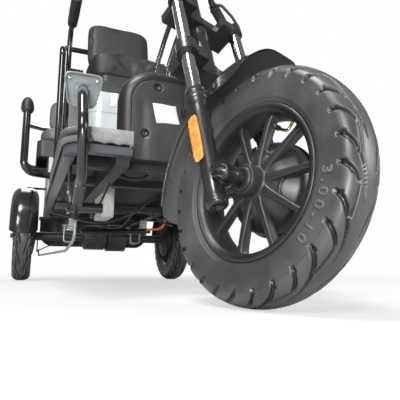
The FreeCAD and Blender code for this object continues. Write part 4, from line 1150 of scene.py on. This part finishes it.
grip = {"length": 0.101, "ribs": 17, "radius": 0.0155}
for side, name in ((-1, "Right"), (1, "Left")):
    s = np.concatenate([[-0.0045, -0.0045, -0.003], np.linspace(0, grip["length"] - 0.01, 150),
                        grip["length"] + np.array([-0.0085, -0.006, -0.0045, -0.0045])])
    ribs = grip["radius"] + 0.0011 * np.sign(np.sin(s * 2 * np.pi * grip["ribs"] / grip["length"])) * (s > 0.006) \
        + 0.0006 * np.sin(np.clip(s, 0, 0.1) * np.pi / 0.1)
    ribs[:3] = (0.002, 0.0125, 0.0155)
    ribs[-4:] = (0.0185, 0.0185, 0.017, 0.0113)
    turn = np.linspace(0, 2 * np.pi, 40, endpoint=False)
    points = onBar(side, s[:, None], ribs[:, None], turn[None])
    piece = addPiece("grip" + name, points.reshape(-1, 3), gridFaces(len(s), 40, wrapRows=True), "softRubber",
                     "steering", "soft_rubber")
    foot = barCentre + np.array([side * 0.189, 0.086, 0.042])
    domeFace(foot + np.array([side * 0.096, -0.0258, 0.106]), (1, 0, 0), (0, 0, 1), (0, 1, 0), 0.054, 0.031, 3.4,
             0.0012,
             name="mirrorGlass" + name, look="mirrorGlass", body="steering")
    domeFace((side * 0.22, 0.88, 0.5), (1, 0, 0), (0, 0, 1), (0, 1, 0), 0.041, 0.026, 3.6, 0.004, rib=0.0003,
             name="lampLens" + name, look="redLens", slotName="chrome")
    y = np.concatenate([[0.071, 0.0618, 0.0612, 0.0625], np.linspace(0.066, 0.2575, 60), [0.2598, 0.2602, 0.2598]])
    r = np.concatenate([[0.0113, 0.0118, 0.015, 0.0178], 0.0192 + 0.0012 * np.sin(np.linspace(0, np.pi, 60)) ** 0.5
                        - 0.0012 * np.exp(-((np.linspace(0.066, 0.2575, 60) - 0.078) / 0.0016) ** 2)
                        - 0.0012 * np.exp(-((np.linspace(0.066, 0.2575, 60) - 0.246) / 0.0016) ** 2),
                        [0.0176, 0.0145, 0.0113]])
    pad = latheMesh(np.stack([y, r], 1), (side * 0.234, 0, 1.062), (0, 1, 0), 48, True)
    armPad = addPiece("armPad" + name, *pad, "softRubber", "chassis", "soft_rubber")
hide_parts("handlebar_grips")
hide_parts("armrest_pads")
print("small fittings done")

# squared lower pedal arm, flap behind the axle
pedalLever = {"half": 0.0122, "corner": 7.0}
leverLine = np.array([[-0.2465, -0.43, 0.2095], [-0.2485, -0.476, 0.2272], [-0.2505, -0.521, 0.2446]])
# superellipse section (|x|^p + |z|^p)^(1/p) carried along the arm's straight part
wayL = (leverLine[-1] - leverLine[0]) / np.linalg.norm(leverLine[-1] - leverLine[0])
sideL = np.cross(wayL, [0, 0, 1.0])
sideL /= np.linalg.norm(sideL)
q = np.linspace(0, 2 * np.pi, 64, endpoint=False)
squareRing = roundSquare(q, pedalLever["corner"])
grow = np.array([0.1, 0.9, 0.97, 1, 1, 1, 1, 0.97, 0.9, 0.1])
along = np.array([0, 0, 0.008, 0.03, 0.3, 0.7, 0.97, 0.992, 1, 1])
ring = pedalLever["half"] * squareRing[:, None] * (np.cos(q)[:, None] * sideL + np.sin(q)[:, None] * np.cross(sideL,
                                                                                                              wayL))
points = leverLine[0] + along[:, None, None] * (leverLine[-1] - leverLine[0]) + grow[:, None, None] * ring[None]
addGrid("pedalLever", points, "framePaint", "chassis", "black_steel", wrapRows=True)

# flap: flat sheet with shallow waves across, z0 + 1.2 mm * cos(x), lower corners cut round
u, w = np.meshgrid(np.linspace(-1, 1, 121), np.linspace(0, 1, 24), indexing="ij")
x = 0.294 * np.sign(u) * np.abs(u) * (1 - 0.03 * w ** 6)
z = 0.321 - w * 0.15 + 0.035 * w * np.clip((np.abs(u) - 0.8) / 0.2, 0, 1) ** 2
bulge = 0.0012 * np.cos(u * 40) + 0.006 * w ** 2
face = np.stack([x, 0.979 + bulge - 0.0015, z], -1)
back = np.stack([x, 0.979 + bulge + 0.0015, z], -1)
sheet = np.concatenate([face, back[:, ::-1]], 1)
addGrid("axleFlap", sheet, "softRubber", "chassis", "soft_rubber")
print("flap done")

# camera, light, floor
viewer = {"place": (-0.3471, -1.4481, 0.0682), "yaw": 0.3845, "pitch": 0.1556, "roll": 0.0052, "lens": 38.01}
forward = Vector((math.sin(viewer["yaw"]) * math.cos(viewer["pitch"]),
                  math.cos(viewer["yaw"]) * math.cos(viewer["pitch"]), math.sin(viewer["pitch"])))
level = Vector((math.cos(viewer["yaw"]), -math.sin(viewer["yaw"]), 0))
above = level.cross(forward)
right = level * math.cos(viewer["roll"]) + above * math.sin(viewer["roll"])
upward = above * math.cos(viewer["roll"]) - level * math.sin(viewer["roll"])
camera = bpy.data.objects.new("camera", bpy.data.cameras.new("camera"))
bpy.context.scene.collection.objects.link(camera)
camera.data.lens, camera.data.sensor_width = viewer["lens"], 36.0
camera.data.clip_start, camera.data.clip_end = 0.02, 60.0
place = Matrix.Identity(4)
for row in range(3):
    place[row][0], place[row][1], place[row][2], place[row][3] = (
        right[row], upward[row], -forward[row], viewer["place"][row])
camera.matrix_world = place
bpy.context.scene.camera = camera


def addArea(name, place, target, size, power):
    lamp = bpy.data.objects.new(name, bpy.data.lights.new(name, "AREA"))
    bpy.context.scene.collection.objects.link(lamp)
    lamp.data.size, lamp.data.energy = size, power
    lamp.location = place
    lamp.rotation_euler = (Vector(target) - Vector(place)).to_track_quat("-Z", "Y").to_euler()
    return lamp


addArea("keyLight", (-2.0, -3.2, 2.7), (0, -0.5, 0.4), 1.5, 125)
addArea("fillLight", (3.0, -2.6, 1.5), (0, -0.4, 0.3), 1.6, 70)
addArea("backLight", (0.6, 3.6, 2.8), (0, 0, 0.5), 2.6, 80)
addArea("lowLight", (-1.3, -3.6, 0.35), (-0.1, 0.0, 0.35), 0.8, 95)
addArea("topLight", (-0.9, -0.8, 3.0), (-0.1, -0.4, 0.5), 0.8, 60)
world = bpy.data.worlds.new("studio")
bpy.context.scene.world = world
world.use_nodes = True
tree = world.node_tree
tree.nodes.clear()
output = newNode(tree, "OutputWorld")
soft = newNode(tree, "Background", {"Color": (0.9, 0.9, 0.9, 1), "Strength": 0.27})
white = newNode(tree, "Background", {"Color": (1, 1, 1, 1)})
rays = newNode(tree, "LightPath")
blend = newNode(tree, "MixShader")
link(tree, rays.outputs["Is Camera Ray"], blend.inputs["Fac"])
link(tree, soft.outputs[0], blend.inputs[1])
link(tree, white.outputs[0], blend.inputs[2])
link(tree, blend.outputs[0], output.inputs["Surface"])

floorMaterial = bpy.data.materials.new("paleFloor")
floorMaterial.use_nodes = True
tree = floorMaterial.node_tree
shader = tree.nodes["Principled BSDF"]
where = newNode(tree, "TexCoord")
grit = newNode(tree, "TexNoise", {"Scale": 3})
link(tree, where.outputs["Object"], grit.inputs["Vector"])
pale = toneRamp(tree, 0.0, 1.0, (0.66, 0.66, 0.66), (0.7, 0.7, 0.7))
link(tree, grit.outputs["Fac"], pale.inputs["Fac"])
link(tree, pale.outputs["Color"], shader.inputs["Base Color"])
shader.inputs["Roughness"].default_value = 0.9
# the floor turns into the white backdrop between 1 and 3 m from the middle
reach = newNode(tree, "VectorMath", operation="LENGTH")
link(tree, where.outputs["Object"], reach.inputs[0])
fade = newNode(tree, "MapRange", {"From Min": 1.0, "From Max": 3.0, "To Min": 0.6})
link(tree, reach.outputs["Value"], fade.inputs["Value"])
seen = newNode(tree, "LightPath")
both = newNode(tree, "Math", operation="MULTIPLY")
link(tree, fade.outputs["Result"], both.inputs[0])
link(tree, seen.outputs["Is Camera Ray"], both.inputs[1])
glow = newNode(tree, "Emission")
blend = newNode(tree, "MixShader")
link(tree, both.outputs[0], blend.inputs["Fac"])
link(tree, shader.outputs[0], blend.inputs[1])
link(tree, glow.outputs[0], blend.inputs[2])
link(tree, blend.outputs[0], tree.nodes["Material Output"].inputs["Surface"])
floorPoints = [(-14, -14, 0), (14, -14, 0), (14, 14, 0), (-14, 14, 0)]
floor = addMesh("floor", floorPoints, [(0, 1, 2, 3)], floorMaterial, None)

bpy.context.scene.view_settings.view_transform = "Standard"
print("scene done")
